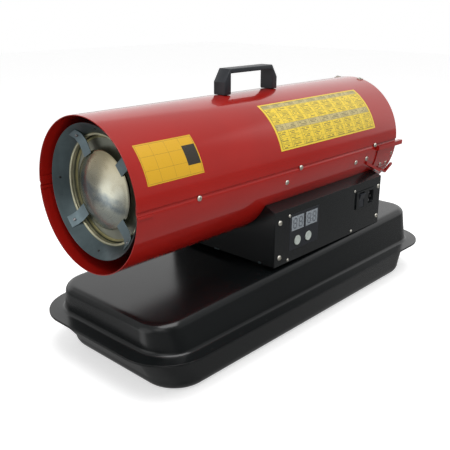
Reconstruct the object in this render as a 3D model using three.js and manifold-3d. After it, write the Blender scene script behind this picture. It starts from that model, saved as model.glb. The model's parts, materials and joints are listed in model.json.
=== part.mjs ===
// Diesel air heater, in millimetres, +Z up.
// Origin: centre of the tank's flat underside.
// -Y is the hot air outlet, +Y the fan inlet, +X the control panel side.

import * as THREE from 'three';
import { mergeVertices } from 'three/addons/utils/BufferGeometryUtils.js';
import Module from 'manifold-3d';

const wasm = await Module();
wasm.setup();

// Clearances
const seatGap = 0.3;
const runningGap = 0.6;
const holeGap = 0.4;
const overrun = 8;

// Fuel tank, two pressed shells
const tankWidth = 310;
const tankLength = 728;
const tankSheet = 1.5;
const tankFlangeCorner = 75;
const tankJointHeight = 64;
const tankPressFillet = 6;
const tankUpperFootSide = 23;
const tankUpperFootEnd = 25;
const tankUpperFootCorner = 52;
const tankShoulderSide = 33;
const tankShoulderEnd = 25;
const tankShoulderCorner = 44;
const tankShoulderFillet = 12;
const tankTopFront = 106.7;
const tankTopRear = 128.5;
const tankLowerRimSide = 20;
const tankLowerRimFront = 12;
const tankLowerRimRear = 38;
const tankLowerRimCorner = 45;
const tankFloorSide = 22;
const tankFloorFront = 38;
const tankFloorRear = 41;
const tankFloorCorner = 56;
const tankFloorFillet = 19;

// Fuel filler with its plug and cap
const fillerX = -76;
const fillerFromRear = 62;
const fillerBore = 17;
const fillerWall = 1.5;
const fillerFlange = 24;
const fillerFlangeThick = 1.5;
const fillerDepth = 12;
const fillerHeight = 15;
const plugDepth = 9;
const plugLip = 20;
const plugLipThick = 2;
const capWall = 2.2;
const capRadius = 23.4;
const capSkirt = 12;
const capTop = 3;
const capGripWidth = 7;
const capGripHeight = 6;

// Fuel gauge, its pointer and its float
const gaugeX = 46;
const gaugeFromRear = 64;
const gaugeRadius = 16;
const gaugeBodyHeight = 9;
const gaugeDialDepth = 5;
const gaugeRimWall = 2;
const gaugeLensThick = 1.5;
const gaugeNeckRadius = 11;
const gaugeStemRadius = 3.5;
const gaugeStemLength = 40;
const gaugeForkWidth = 14;
const gaugeForkSlot = 5;
const gaugeForkHeight = 14;
const gaugePinRadius = 1.5;
const floatArmLength = 68;
const floatArmRadius = 1.5;
const floatRadius = 11;
const floatLength = 34;
const floatHubRadius = 4;
const floatRestAngle = 40;
const pointerLength = 9;
const pointerWidth = 1.6;
const pointerHubRadius = 2.4;
const pointerThick = 1.2;
const pointerPostRadius = 0.9;

// Fuel pick-up and filter
const pickupX = -20;
const pickupY = 62;
const pickupBushRadius = 9;
const pickupFlangeRadius = 13;
const pickupFlangeThick = 2;
const pickupTubeRadius = 3;
const pickupBarbRadius = 4;
const pickupBarbHeight = 17;
const pickupFilterGap = 12;
const fuelFilterRadius = 10;
const fuelFilterHeight = 18;

// Drain plug in the tank's far long side
const drainY = -240;
const drainHeight = 31;
const drainThread = 6;
const drainFlange = 9;
const drainFlangeThick = 2;
const drainHexAcross = 13;
const drainHexLength = 6;
const drainReach = 8;

// Box between the tank and the barrel
const boxBesideBarrel = 8.7;
const boxFront = -95.8;
const boxRear = 215.5;
const boxSheet = 1.2;
const boxEdgeDrop = 5.7;
const boxFloorDrop = 3.5;
const boxShoulderDrop = 58.6;
const boxRoofAngle = -27.8;
const footWidth = 26;
const footX = 74;
const footFromFront = 12;
const footFromRear = 62;

// Barrel, two half shells
const barrelRadius = 108;
const barrelSheet = 1.2;
const barrelOverTank = 34.5;
const barrelFront = -355;
const barrelRear = 277;
const barrelLipAngle = 5;
const barrelSeamAngle = 0.2;
const barrelJoggleAngle = 1.4;

// Handle
const handleWidth = 25;
const handleFront = -96;
const handleRear = 31.3;
const handlePost = 13.7;
const handleRise = 39.4;
const handleBar = 7;
const handleShoulder = 19.5;
const handleSlopeIn = 12.5;
const handleEdge = 2;

// Cord hook bracket at the rear of the panel side
const hookPlateFront = 210;
const hookPlateRear = 262;
const hookPlateHighAngle = -4;
const hookPlateLowAngle = -25;
const hookTabLowAngle = -34;
const hookTabSetback = 3;
const hookSheet = 1.6;
const hookRailFront = 203;
const hookRailRear = 288;
const hookRailHeight = 8;
const hookRailDepth = 7;
const hookRailDrop = 6;
const hookArmFront = 178;
const hookArmFrontDrop = 30;
const hookArmRear = 228;
const hookArmRearDrop = 53;
const hookArmHeight = 5.4;
const hookArmUnderRadius = 1;
const hookWidth = 5;
const hookUnderRadius = 8;
const hookRootY = 240;
const hookRootDrop = 55;
const hookLowY = 256;
const hookLowDrop = 63;
const hookTipY = 280;
const hookTipDrop = 51;
const hookThick = 3.6;

// Fan inlet guard
const guardWire = 3;
const guardRings = 5;
const guardInset = 5;
const guardBars = 3;
const guardHubRadius = 16;

// Combustion chamber and burner, about an axis a little above the barrel's
const burnerRise = 3;
const chamberGap = 15.3;
const chamberSheet = 1;
const chamberFront = -338;
const chamberRear = 20;
const ringLip = 8;
const ringFront = -341.5;
const ringWidth = 16;
const ringThroatY = -323;
const ringBead = 2;
const flameTubeInset = 4.2;
const flameTubeFront = -316.5;
const flameTubeSheet = 1;
const flameTubeBead = 1.5;
const fireRingDrop = 1;
const fireRingHole = 46;
const domeGap = 17;
const domeRimWidth = 1.2;
const domeY = -323.5;
const domeProud = 15;
const domeSheet = 1;
const strapTurns = [41, 120, 221, 314];
const strapWidth = 18;
const strapThick = 1.3;
const strapGap = 0.8;
const strapProud = 1.6;
const strapLap = 3.5;
const strapKneeInset = 6.5;
const strapSeatOutset = 3.5;
const strapEndInset = 5.5;
const rearPlateSheet = 1.2;
const rearPlateRim = 0.9;
const headRadius = 29;
const headSheet = 1.2;
const headDepth = 24;
const headFlange = 38;
const headAirHole = 4.5;
const headAirHoles = 6;
const headAirCircle = 19;
const nozzleRadius = 8;
const nozzleReach = 12;
const nozzleBlockRadius = 13;
const nozzleBlockLength = 10;
const nozzleBlockGap = 8;
const nozzleTip = 2.5;
const barbRadius = 3;
const barbLength = 9;
const barbSpacing = 15;
const electrodeRadius = 3;
const electrodeLength = 42;
const electrodeWire = 1;
const electrodeWireReach = 14;
const electrodeX = 8;
const electrodeRise = 21;
const photocellRadius = 6;
const photocellLength = 20;
const photocellX = -52;
const photocellSight = 3;
const limitRadius = 8;
const limitHeight = 9;
const limitX = 52;
const saddleWidth = 22;
const saddleSheet = 1.5;
const saddleSpread = 55;
const saddleLegAngle = 47;
const saddleFrontY = -290;
const saddleRearY = -30;

// Motor, fan and air pump
const fanFront = 84;
const fanDepth = 24;
const fanGap = 13;
const fanHubRadius = 18;
const fanBlades = 5;
const fanBladePitch = 32;
const fanBladeWidth = 44;
const fanBladeThick = 1.6;
const shaftRadius = 4;
const shaftFront = 80;
const motorFront = 118;
const motorLength = 80;
const motorRadius = 42;
const motorBossRadius = 13;
const motorBossLength = 5;
const motorEdge = 4;
const motorSaddleY = 158;
const motorSaddleWidth = 34;
const pumpBodyRadius = 40;
const pumpBodyLength = 16;
const pumpBore = 28;
const pumpOffset = 3;
const pumpRotorRadius = 24;
const pumpRotorEnd = 0.6;
const pumpSlotWidth = 2.2;
const pumpSlotDepth = 10;
const pumpSlots = 4;
const coverRadius = 42;
const coverWall = 3;
const coverCavity = 14;
const coverBack = 4;
const coverBossRadius = 9;
const coverBossLength = 9;
const filterThick = 11;
const filterBore = 10;
const screwRadius = 3.5;
const screwHeadRadius = 6;
const screwHeadThick = 4;
const screwSlot = 1.4;
const portRadius = 3;
const portLength = 11;

// Hoses
const hoseRadius = 3.8;
const hoseBore = 2.2;
const hoseFrontY = 62;
const hoseDownY = 193;
const hoseHole = 8;
const airHoseX = 8;
const hoseUnderBarrel = 20;
const hoseTurnY = 12;
const hoseSides = 8;

// Control panel fittings
const displayWidth = 31.5;
const displayHeight = 23.5;
const displayLeftY = -38.2;
const displayRightY = -1;
const displayDrop = 27.9;
const displayDepth = 15;
const displayProud = 0.5;
const buttonRadius = 9;
const buttonCollar = 11;
const buttonCollarThick = 2;
const buttonProud = 1.6;
const buttonTravel = 1;
const buttonStem = 3;
const buttonStemLength = 9;
const buttonLeftY = -38.2;
const buttonRightY = -9;
const buttonDrop = 57.8;
const switchBlockSize = 7;
const boardThick = 1.6;
const boardFront = -68;
const boardRear = 118;
const boardRise = 9;
const boardDrop = 13.4;
const moduleY = 162.5;
const moduleDrop = 31.6;
const moduleWidth = 60;
const moduleHeight = 31.5;
const moduleBezel = 2;
const moduleBezelRim = 1.2;
const moduleDepth = 26;
const socketWidth = 17;
const socketHeight = 24;
const socketDepth = 15;
const socketOffset = 17.5;
const socketCorner = 3;
const contactBase = 2;
const contactReach = 12;
const contactThick = 2;
const contactWidth = 4;
const contactSpacing = 7;
const contactOffset = 2.5;
const rockerWidth = 15;
const rockerHeight = 25;
const rockerOffset = -13.5;
const rockerSideGap = 0.4;
const rockerWellHeight = 28.4;
const rockerWellDepth = 14;
const rockerPivotDepth = 7;
const rockerTilt = 8;
const rockerEndRise = 8.5;
const rockerMidRise = 6.2;
const rockerBack = 4;
const rockerBackHalf = 6;
const rockerSideRise = 1;
const rockerPin = 1.2;
const rockerPinReach = 1;
const transformerX = -68;
const transformerY = 140;
const transformerWidth = 46;
const transformerLength = 78;
const transformerClear = 8.3;
const transformerTabReach = 9;
const transformerTabThick = 2;
const transformerTabWidth = 20;
const probeRadius = 3.2;
const probeLength = 32;
const probeX = -35;
const probeRise = 24;
const probeClipWidth = 12;
const probeClipDepth = 9;

// Smoothness
const fullTurn = Math.PI * 2;
const quarterTurn = Math.PI / 2;
const barrelRound = 72;
const bigRound = 40;
const midRound = 28;
const smallRound = 16;
const holeRound = 12;
const wireRound = 6;
const cornerSteps = 6;
const filletSteps = 3;
const domeSteps = 6;
const beadSteps = 4;
const hoseStepsPerPoint = 2;
const lipSteps = 2;
const halfCircle = 180;
const mergeDistance = 0.0001;
const degree = Math.PI / halfCircle;

// Heights and reaches that follow from the tank, the barrel and each other
const barrelAxisHeight = tankTopRear + barrelOverTank + barrelRadius;
const boxLowEdge = tankTopRear - boxEdgeDrop;
const boxFloorHeight = tankTopRear - boxFloorDrop;
const boxFloorTop = boxFloorHeight + boxSheet;
const boxShoulderHeight = barrelAxisHeight - boxShoulderDrop;
const displayZ = boxShoulderHeight - displayDrop;
const buttonZ = boxShoulderHeight - buttonDrop;
const moduleZ = boxShoulderHeight - moduleDrop;
const boardLow = boxFloorHeight + boardRise;
const boardHigh = boxShoulderHeight - boardDrop;
const probeZ = boxFloorHeight + probeRise;
const boxHalfWidth = barrelRadius + boxBesideBarrel;
const hookX = barrelRadius - hookUnderRadius;
const fanRadius = barrelRadius - fanGap;
const chamberRadius = barrelRadius - chamberGap;
const rearPlateRadius = chamberRadius + rearPlateRim;
const ringThroat = chamberRadius - ringWidth;
const flameTubeRadius = ringThroat - flameTubeInset;
const domeRim = flameTubeRadius - domeGap;
const domeBulge = domeRim - domeRimWidth;
const strapInner = domeRim - strapLap;
const strapKnee = ringThroat - strapKneeInset;
const strapSeat = ringThroat + strapSeatOutset;
const strapOuter = chamberRadius - strapEndInset;

// Finishes
const finishes = {
  blackPaint: { color: 0x202322, roughness: 0.35, metalness: 0.1 },
  redPaint: { color: 0x8c2a26, roughness: 0.3, metalness: 0.1 },
  blackPlastic: { color: 0x26282b, roughness: 0.5, metalness: 0 },
  galvanised: { color: 0x6c706c, roughness: 0.45, metalness: 0.9 },
  stainless: { color: 0xa4a592, roughness: 0.3, metalness: 1 },
  brass: { color: 0xa88a4a, roughness: 0.35, metalness: 1 },
  steel: { color: 0x8a8d8f, roughness: 0.4, metalness: 1 },
  aluminium: { color: 0xb0b2b4, roughness: 0.4, metalness: 0.9 },
  ceramic: { color: 0xe6e2d8, roughness: 0.3, metalness: 0 },
  rubber: { color: 0x18191a, roughness: 0.8, metalness: 0 },
  felt: { color: 0xc9c4b4, roughness: 1, metalness: 0 },
  glass: { color: 0xdfe6e8, roughness: 0.05, metalness: 0 },
  display: { color: 0x66707a, roughness: 0.2, metalness: 0 },
  paleButton: { color: 0xa7ada3, roughness: 0.4, metalness: 0 },
  board: { color: 0x1f5a34, roughness: 0.6, metalness: 0 },
};

// A closed geometry as a solid, with its faces turned outwards
function solid(geometry) {
  const bare = new THREE.BufferGeometry();
  bare.setAttribute('position', geometry.getAttribute('position').clone());
  if (geometry.index) bare.setIndex(geometry.index.clone());
  const merged = mergeVertices(bare, mergeDistance);
  const vertices = Float32Array.from(merged.getAttribute('position').array);
  const corners = [];
  const source = merged.index.array;
  let volume = 0;
  const a = new THREE.Vector3();
  const b = new THREE.Vector3();
  const c = new THREE.Vector3();
  for (let i = 0; i < source.length; i += 3) {
    const [p, q, r] = [source[i], source[i + 1], source[i + 2]];
    if (p === q || q === r || r === p) continue;
    corners.push(p, q, r);
    a.fromArray(vertices, p * 3);
    b.fromArray(vertices, q * 3);
    c.fromArray(vertices, r * 3);
    volume += a.dot(b.cross(c));
  }
  if (volume < 0) {
    for (let i = 0; i < corners.length; i += 3) {
      [corners[i + 1], corners[i + 2]] = [corners[i + 2], corners[i + 1]];
    }
  }
  const mesh = new wasm.Mesh({ numProp: 3, vertProperties: vertices, triVerts: Uint32Array.from(corners) });
  return new wasm.Manifold(mesh);
}

// The geometry of a solid, for a mesh
function geometryOf(body) {
  const mesh = body.getMesh();
  const geometry = new THREE.BufferGeometry();
  geometry.setAttribute('position', new THREE.BufferAttribute(mesh.vertProperties, 3));
  geometry.setIndex(new THREE.BufferAttribute(mesh.triVerts, 1));
  return geometry;
}

function join(...bodies) {
  return bodies.reduce((whole, next) => whole.add(next));
}

// A mesh of one piece, in the group that carries it
function addPiece(parent, name, body, finish) {
  const material = new THREE.MeshStandardMaterial(finishes[finish]);
  const mesh = new THREE.Mesh(geometryOf(body), material);
  mesh.name = name;
  parent.add(mesh);
  return mesh;
}

// A block between two corners
function block(low, high) {
  const size = high.map((value, axis) => value - low[axis]);
  const geometry = new THREE.BoxGeometry(...size);
  geometry.translate(...high.map((value, axis) => (value + low[axis]) / 2));
  return solid(geometry);
}

// A round rod from one point to another
function rod(from, to, radius, sides = smallRound) {
  const start = new THREE.Vector3(...from);
  const end = new THREE.Vector3(...to);
  const along = end.clone().sub(start);
  const geometry = new THREE.CylinderGeometry(radius, radius, along.length(), sides);
  const turn = new THREE.Quaternion().setFromUnitVectors(new THREE.Vector3(0, 1, 0), along.normalize());
  geometry.applyQuaternion(turn);
  geometry.translate(...start.add(end).multiplyScalar(1 / 2).toArray());
  return solid(geometry);
}

// A turned piece about Y, from [radius, y] points on the axis or closed on themselves
function turnedY(profile, sides = midRound) {
  const points = profile.map(([radius, y]) => new THREE.Vector2(radius, y));
  const closed = profile[0][0] > 0;
  if (closed) points.push(points[0].clone());
  return solid(new THREE.LatheGeometry(points, sides));
}

// The same about Z
function turnedZ(profile, sides = midRound) {
  const points = profile.map(([radius, z]) => new THREE.Vector2(radius, z));
  const closed = profile[0][0] > 0;
  if (closed) points.push(points[0].clone());
  const geometry = new THREE.LatheGeometry(points, sides);
  geometry.rotateX(quarterTurn);
  return solid(geometry);
}

// An outline of x and z, drawn out along Y
function alongY(shape, from, to, curveSegments = barrelRound / 4) {
  const geometry = new THREE.ExtrudeGeometry(shape, { depth: to - from, bevelEnabled: false, curveSegments });
  geometry.rotateX(quarterTurn);
  geometry.translate(0, to, 0);
  return solid(geometry);
}

// An outline of y and z, drawn out along X
function alongX(shape, from, to) {
  const geometry = new THREE.ExtrudeGeometry(shape, { depth: to - from, bevelEnabled: false });
  geometry.rotateX(quarterTurn);
  geometry.rotateZ(quarterTurn);
  geometry.translate(from, 0, 0);
  return solid(geometry);
}

function outline(points) {
  return new THREE.Shape(points.map(([u, v]) => new THREE.Vector2(u, v)));
}

// A band between two radii over an arc given in degrees
function arcBand(inner, outer, fromAngle, toAngle) {
  const shape = new THREE.Shape();
  shape.absarc(0, 0, outer, fromAngle * degree, toAngle * degree, false);
  shape.absarc(0, 0, inner, toAngle * degree, fromAngle * degree, true);
  return shape;
}

// A closed skin over a stack of rings, capped at both ends
function loft(rings) {
  const count = rings[0].length;
  const points = rings.flat();
  const centres = [rings[0], rings[rings.length - 1]].map((ring) => {
    const centre = new THREE.Vector3();
    ring.forEach((point) => centre.add(point));
    return centre.divideScalar(count);
  });
  const faces = [];
  const last = (rings.length - 1) * count;
  for (let i = 0; i < count; i += 1) {
    const next = (i + 1) % count;
    for (let ring = 0; ring < rings.length - 1; ring += 1) {
      const low = ring * count;
      const high = low + count;
      faces.push(low + i, low + next, high + next, low + i, high + next, high + i);
    }
    faces.push(points.length, next, i);
    faces.push(points.length + 1, last + i, last + next);
  }
  const geometry = new THREE.BufferGeometry().setFromPoints([...points, ...centres]);
  geometry.setIndex(faces);
  return solid(geometry);
}

const heater = new THREE.Group();
heater.name = 'diesel_air_heater';

// Tank shells
const tankTilt = (tankTopRear - tankTopFront) / tankLength;

function tankTopAt(y) {
  return tankTopFront + tankTilt * (y + tankLength / 2);
}

function tankRing([sideInset, frontInset, rearInset], corner, height, tilt = 0) {
  const centreX = tankWidth / 2 - sideInset - corner;
  const frontY = corner + frontInset - tankLength / 2;
  const rearY = tankLength / 2 - rearInset - corner;
  const ring = [];
  for (let quarter = 0; quarter < 4; quarter += 1) {
    const signX = quarter === 0 || quarter === 3 ? 1 : -1;
    const centreY = quarter < 2 ? rearY : frontY;
    for (let step = 0; step <= cornerSteps; step += 1) {
      const angle = (quarter + step / cornerSteps) * quarterTurn;
      const x = signX * centreX + corner * Math.cos(angle);
      const y = centreY + corner * Math.sin(angle);
      ring.push(new THREE.Vector3(x, y, height + tilt * (y + tankLength / 2)));
    }
  }
  return ring;
}

// Insets from the flange on the long sides, at the front and at the rear, each grown by the same amount
function insetBy(amount, side, front, rear = front) {
  return [side, front, rear].map((value) => value + amount);
}

function filletAngles() {
  return Array.from({ length: filletSteps + 1 }, (_, step) => (step / filletSteps) * quarterTurn);
}

function upperTankRings(skin) {
  const flangeTop = tankJointHeight + tankSheet;
  const rings = [];
  filletAngles().reverse().forEach((angle) => {
    const reach = tankShoulderFillet - skin;
    const inset = tankShoulderFillet - reach * Math.cos(angle);
    const height = tankTopFront - tankShoulderFillet + reach * Math.sin(angle);
    const insets = insetBy(inset, tankShoulderSide, tankShoulderEnd);
    rings.push(tankRing(insets, tankShoulderCorner - inset, height, tankTilt));
  });
  filletAngles().forEach((angle) => {
    const reach = tankPressFillet + skin;
    const inset = reach * Math.cos(angle) - tankPressFillet;
    const height = flangeTop + tankPressFillet - reach * Math.sin(angle);
    const insets = insetBy(inset, tankUpperFootSide, tankUpperFootEnd);
    rings.push(tankRing(insets, tankUpperFootCorner - inset, height));
  });
  rings.push(tankRing(insetBy(0, 0, 0), tankFlangeCorner, flangeTop - skin));
  return rings;
}

function lowerTankRings(skin) {
  const flangeUnder = tankJointHeight - seatGap - tankSheet;
  const rings = [];
  filletAngles().reverse().forEach((angle) => {
    const reach = tankFloorFillet - skin;
    const inset = tankFloorFillet - reach * Math.cos(angle);
    const height = tankFloorFillet - reach * Math.sin(angle);
    const insets = insetBy(inset, tankFloorSide, tankFloorFront, tankFloorRear);
    rings.push(tankRing(insets, tankFloorCorner - inset, height));
  });
  filletAngles().forEach((angle) => {
    const reach = tankPressFillet + skin;
    const inset = reach * Math.cos(angle) - tankPressFillet;
    const height = flangeUnder - tankPressFillet + reach * Math.sin(angle);
    const insets = insetBy(inset, tankLowerRimSide, tankLowerRimFront, tankLowerRimRear);
    rings.push(tankRing(insets, tankLowerRimCorner - inset, height));
  });
  rings.push(tankRing(insetBy(0, 0, 0), tankFlangeCorner, flangeUnder + skin));
  return rings;
}

// The sloping plateau of the tank carries the filler and the gauge
const tankTop = new THREE.Group();
tankTop.position.set(0, -tankLength / 2, tankTopFront);
tankTop.rotation.x = Math.atan(tankTilt);
tankTop.updateMatrixWorld();
heater.add(tankTop);

const fillerAlong = tankLength - fillerFromRear;
const gaugeAlong = tankLength - gaugeFromRear;
const fillerOuter = fillerBore + fillerWall;

function onTankTop(body) {
  return body.transform(tankTop.matrix.toArray());
}

function tankHole(x, along, radius) {
  return onTankTop(rod([x, along, -overrun - tankSheet], [x, along, overrun], radius, midRound));
}

const drainX = -(tankWidth / 2 - tankFloorSide);
const pickupHole = rod(
  [pickupX, pickupY, tankTopAt(pickupY) - overrun],
  [pickupX, pickupY, tankTopAt(pickupY) + overrun],
  pickupBushRadius + holeGap,
);
const upperTank = loft([...upperTankRings(0), ...upperTankRings(tankSheet).reverse()])
  .subtract(tankHole(fillerX, fillerAlong, fillerOuter + holeGap))
  .subtract(tankHole(gaugeX, gaugeAlong, gaugeNeckRadius + holeGap))
  .subtract(pickupHole);
const lowerTank = loft([...lowerTankRings(0), ...lowerTankRings(tankSheet).reverse()])
  .subtract(rod([drainX - overrun, drainY, drainHeight], [drainX + overrun, drainY, drainHeight],
    drainThread + holeGap));
addPiece(heater, 'tank_lower_shell', lowerTank, 'blackPaint');
addPiece(heater, 'tank_upper_shell', upperTank, 'blackPaint');

// Filler, its plug and its cap
function centredAt(body, x, y, z = 0) {
  return body.translate([x, y, z]);
}

const fillerProfile = [
  [fillerBore, -fillerDepth],
  [fillerOuter, -fillerDepth],
  [fillerOuter, seatGap],
  [fillerFlange, seatGap],
  [fillerFlange, seatGap + fillerFlangeThick],
  [fillerOuter, seatGap + fillerFlangeThick],
  [fillerOuter, fillerHeight],
  [fillerBore, fillerHeight],
];
addPiece(tankTop, 'filler_neck', centredAt(turnedZ(fillerProfile), fillerX, fillerAlong), 'blackPaint');

const plugBase = fillerHeight + seatGap;
const plugTop = plugBase + plugLipThick;
const plugProfile = [
  [0, plugBase - plugDepth],
  [fillerBore - runningGap, plugBase - plugDepth],
  [fillerBore - runningGap, plugBase],
  [plugLip, plugBase],
  [plugLip, plugTop],
  [0, plugTop],
];
addPiece(tankTop, 'cap_plug', centredAt(turnedZ(plugProfile), fillerX, fillerAlong), 'rubber');

const capBase = plugTop + seatGap;
const capProfile = [
  [0, capBase],
  [capRadius - capWall, capBase],
  [capRadius - capWall, plugTop - capSkirt],
  [capRadius, plugTop - capSkirt],
  [capRadius, capBase + capTop],
  [0, capBase + capTop],
];
const capGripHalf = capRadius - capWall;
const capGrip = block(
  [-capGripHalf, -capGripWidth / 2, capBase + capTop / 2],
  [capGripHalf, capGripWidth / 2, capBase + capTop + capGripHeight],
);
const fuelCap = turnedZ(capProfile).add(capGrip);
addPiece(tankTop, 'fuel_cap', centredAt(fuelCap, fillerX, fillerAlong), 'blackPlastic');

// Gauge: a round body with a stem and a fork, a pointer under its lens, and a float on an arm
const gaugeTop = seatGap + gaugeBodyHeight;
const dialFloor = gaugeTop - gaugeDialDepth;
const gaugeProfile = [
  [0, -gaugeStemLength],
  [gaugeStemRadius, -gaugeStemLength],
  [gaugeStemRadius, -tankSheet - fillerDepth / 2],
  [gaugeNeckRadius, -tankSheet - fillerDepth / 2],
  [gaugeNeckRadius, seatGap],
  [gaugeRadius, seatGap],
  [gaugeRadius, gaugeTop],
  [gaugeRadius - gaugeRimWall, gaugeTop],
  [gaugeRadius - gaugeRimWall, dialFloor],
  [pointerPostRadius, dialFloor],
  [pointerPostRadius, dialFloor + pointerThick],
  [0, dialFloor + pointerThick],
];
const forkLow = -gaugeStemLength - gaugeForkHeight;
const forkPivot = forkLow + floatHubRadius + runningGap;
const forkHalf = gaugeForkWidth / 2;
const forkDepth = floatHubRadius;
const fork = block([-forkHalf, -forkDepth, forkLow], [forkHalf, forkDepth, -gaugeStemLength])
  .subtract(block(
    [-gaugeForkSlot / 2, -forkDepth - overrun, forkLow - overrun],
    [gaugeForkSlot / 2, forkDepth + overrun, -gaugeStemLength - gaugeStemRadius],
  ));
const forkPinHole = rod(
  [-forkHalf - overrun, 0, forkPivot],
  [forkHalf + overrun, 0, forkPivot],
  gaugePinRadius + holeGap,
);
const gaugeBody = turnedZ(gaugeProfile, smallRound).add(fork).subtract(forkPinHole);
addPiece(tankTop, 'gauge_body', centredAt(gaugeBody, gaugeX, gaugeAlong), 'blackPlastic');

const lensRadius = gaugeRadius - gaugeRimWall - seatGap;
const lens = rod([0, 0, gaugeTop - gaugeLensThick], [0, 0, gaugeTop], lensRadius, midRound);
addPiece(tankTop, 'gauge_lens', centredAt(lens, gaugeX, gaugeAlong), 'glass');

const pointerLow = dialFloor + seatGap;
const pointerHigh = pointerLow + pointerThick;
const pointerArm = block([-pointerWidth / 2, -pointerLength, pointerLow], [pointerWidth / 2, 0, pointerHigh]);
const pointerHub = rod([0, 0, pointerLow], [0, 0, pointerHigh], pointerHubRadius);
const pointerBore = rod(
  [0, 0, pointerLow - overrun],
  [0, 0, pointerHigh + overrun],
  pointerPostRadius + holeGap,
);
const pointer = pointerArm.add(pointerHub).subtract(pointerBore);
addPiece(tankTop, 'gauge_pointer', centredAt(pointer, gaugeX, gaugeAlong), 'paleButton');

const floatFall = floatRestAngle * degree;
const floatY = -floatArmLength * Math.cos(floatFall);
const floatZ = forkPivot - floatArmLength * Math.sin(floatFall);
const hubHalf = gaugeForkSlot / 2 - holeGap;
const floatBody = join(
  rod([-hubHalf, 0, forkPivot], [hubHalf, 0, forkPivot], floatHubRadius),
  rod([-forkHalf, 0, forkPivot], [forkHalf, 0, forkPivot], gaugePinRadius),
  rod([0, 0, forkPivot], [0, floatY, floatZ], floatArmRadius),
  rod([-floatLength / 2, floatY, floatZ], [floatLength / 2, floatY, floatZ], floatRadius),
);
addPiece(tankTop, 'gauge_float', centredAt(floatBody, gaugeX, gaugeAlong), 'brass');

// Pick-up bushing, tube and filter
const pickupSeat = tankTopAt(pickupY) + tankTilt * pickupFlangeRadius + seatGap;
const pickupLow = tankSheet + pickupFilterGap;
const pickupTop = pickupSeat + pickupFlangeThick;
const pickupProfile = [
  [0, pickupLow],
  [pickupTubeRadius, pickupLow],
  [pickupTubeRadius, pickupSeat - overrun],
  [pickupBushRadius, pickupSeat - overrun],
  [pickupBushRadius, pickupSeat],
  [pickupFlangeRadius, pickupSeat],
  [pickupFlangeRadius, pickupTop],
  [pickupBarbRadius, pickupTop],
  [pickupBarbRadius, pickupSeat + pickupBarbHeight],
  [0, pickupSeat + pickupBarbHeight],
];
addPiece(heater, 'fuel_pickup', centredAt(turnedZ(pickupProfile, smallRound), pickupX, pickupY), 'brass');

const filterLow = tankSheet + seatGap;
const filterTop = filterLow + fuelFilterHeight;
const filterSeatRadius = pickupTubeRadius + seatGap;
const fuelFilterProfile = [
  [0, filterLow],
  [fuelFilterRadius, filterLow],
  [fuelFilterRadius, filterTop],
  [filterSeatRadius, filterTop],
  [filterSeatRadius, pickupLow - seatGap],
  [0, pickupLow - seatGap],
];
addPiece(heater, 'fuel_filter', centredAt(turnedZ(fuelFilterProfile, smallRound), pickupX, pickupY), 'felt');

// Drain plug, along X through the tank's far long side
const tankSideSlope = (tankFloorSide - tankLowerRimSide)
  / (tankJointHeight - tankFloorFillet - tankPressFillet - tankSheet);
const drainSeatX = drainX - tankSideSlope * (drainHeight + drainFlange - tankFloorFillet) - seatGap;
const drainHex = rod(
  [drainSeatX - drainFlangeThick - drainHexLength, drainY, drainHeight],
  [drainSeatX - drainFlangeThick, drainY, drainHeight],
  drainHexAcross / Math.sqrt(3),
  wireRound,
);
const drainPlug = join(
  rod([drainSeatX - drainFlangeThick, drainY, drainHeight], [drainSeatX, drainY, drainHeight], drainFlange),
  rod([drainSeatX, drainY, drainHeight], [drainSeatX + drainReach, drainY, drainHeight], drainThread),
  drainHex,
);
addPiece(heater, 'drain_plug', drainPlug, 'brass');

// Box: floor and end plates in one frame, the panel and the far cover each with a roof strip
const barrelClear = rod(
  [0, boxFront - overrun, barrelAxisHeight],
  [0, boxRear + overrun, barrelAxisHeight],
  barrelRadius + seatGap,
  barrelRound,
);
const roofTopX = barrelRadius * Math.cos(boxRoofAngle * degree);
const roofTopZ = barrelAxisHeight + barrelRadius * Math.sin(boxRoofAngle * degree);
const frameHalf = boxHalfWidth - boxSheet - seatGap;
const roofSlope = (roofTopZ - boxShoulderHeight) / (boxHalfWidth - roofTopX);
const roofAcross = Math.hypot(1, roofSlope);
const frameRoofDrop = (boxSheet + seatGap) * roofAcross;

function roofHeightAt(x) {
  return boxShoulderHeight + roofSlope * (boxHalfWidth - x);
}

const endOutline = outline([
  [-frameHalf, boxLowEdge],
  [frameHalf, boxLowEdge],
  [frameHalf, roofHeightAt(frameHalf) - frameRoofDrop],
  [roofTopX - overrun, roofHeightAt(roofTopX - overrun) - frameRoofDrop],
  [-(roofTopX - overrun), roofHeightAt(roofTopX - overrun) - frameRoofDrop],
  [-frameHalf, roofHeightAt(frameHalf) - frameRoofDrop],
]);
const frontPlate = alongY(endOutline, boxFront, boxFront + boxSheet);
const rearPlate = alongY(endOutline, boxRear - boxSheet, boxRear);
const rearTrim = block(
  [-frameHalf - overrun, boxRear - boxSheet - overrun, boxLowEdge - overrun],
  [frameHalf + overrun, boxRear + overrun, boxFloorHeight],
);
const floorPlate = block(
  [-frameHalf, boxFront, boxFloorHeight],
  [frameHalf, boxRear, boxFloorHeight + boxSheet],
);
const pickupWay = rod(
  [pickupX, pickupY, boxFloorHeight - overrun],
  [pickupX, pickupY, boxFloorHeight + overrun],
  pickupBarbRadius + hoseRadius,
);
const boxFrame = join(frontPlate, rearPlate, floorPlate)
  .subtract(rearTrim)
  .subtract(barrelClear)
  .subtract(pickupWay);
addPiece(heater, 'box_frame', boxFrame, 'blackPaint');

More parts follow.
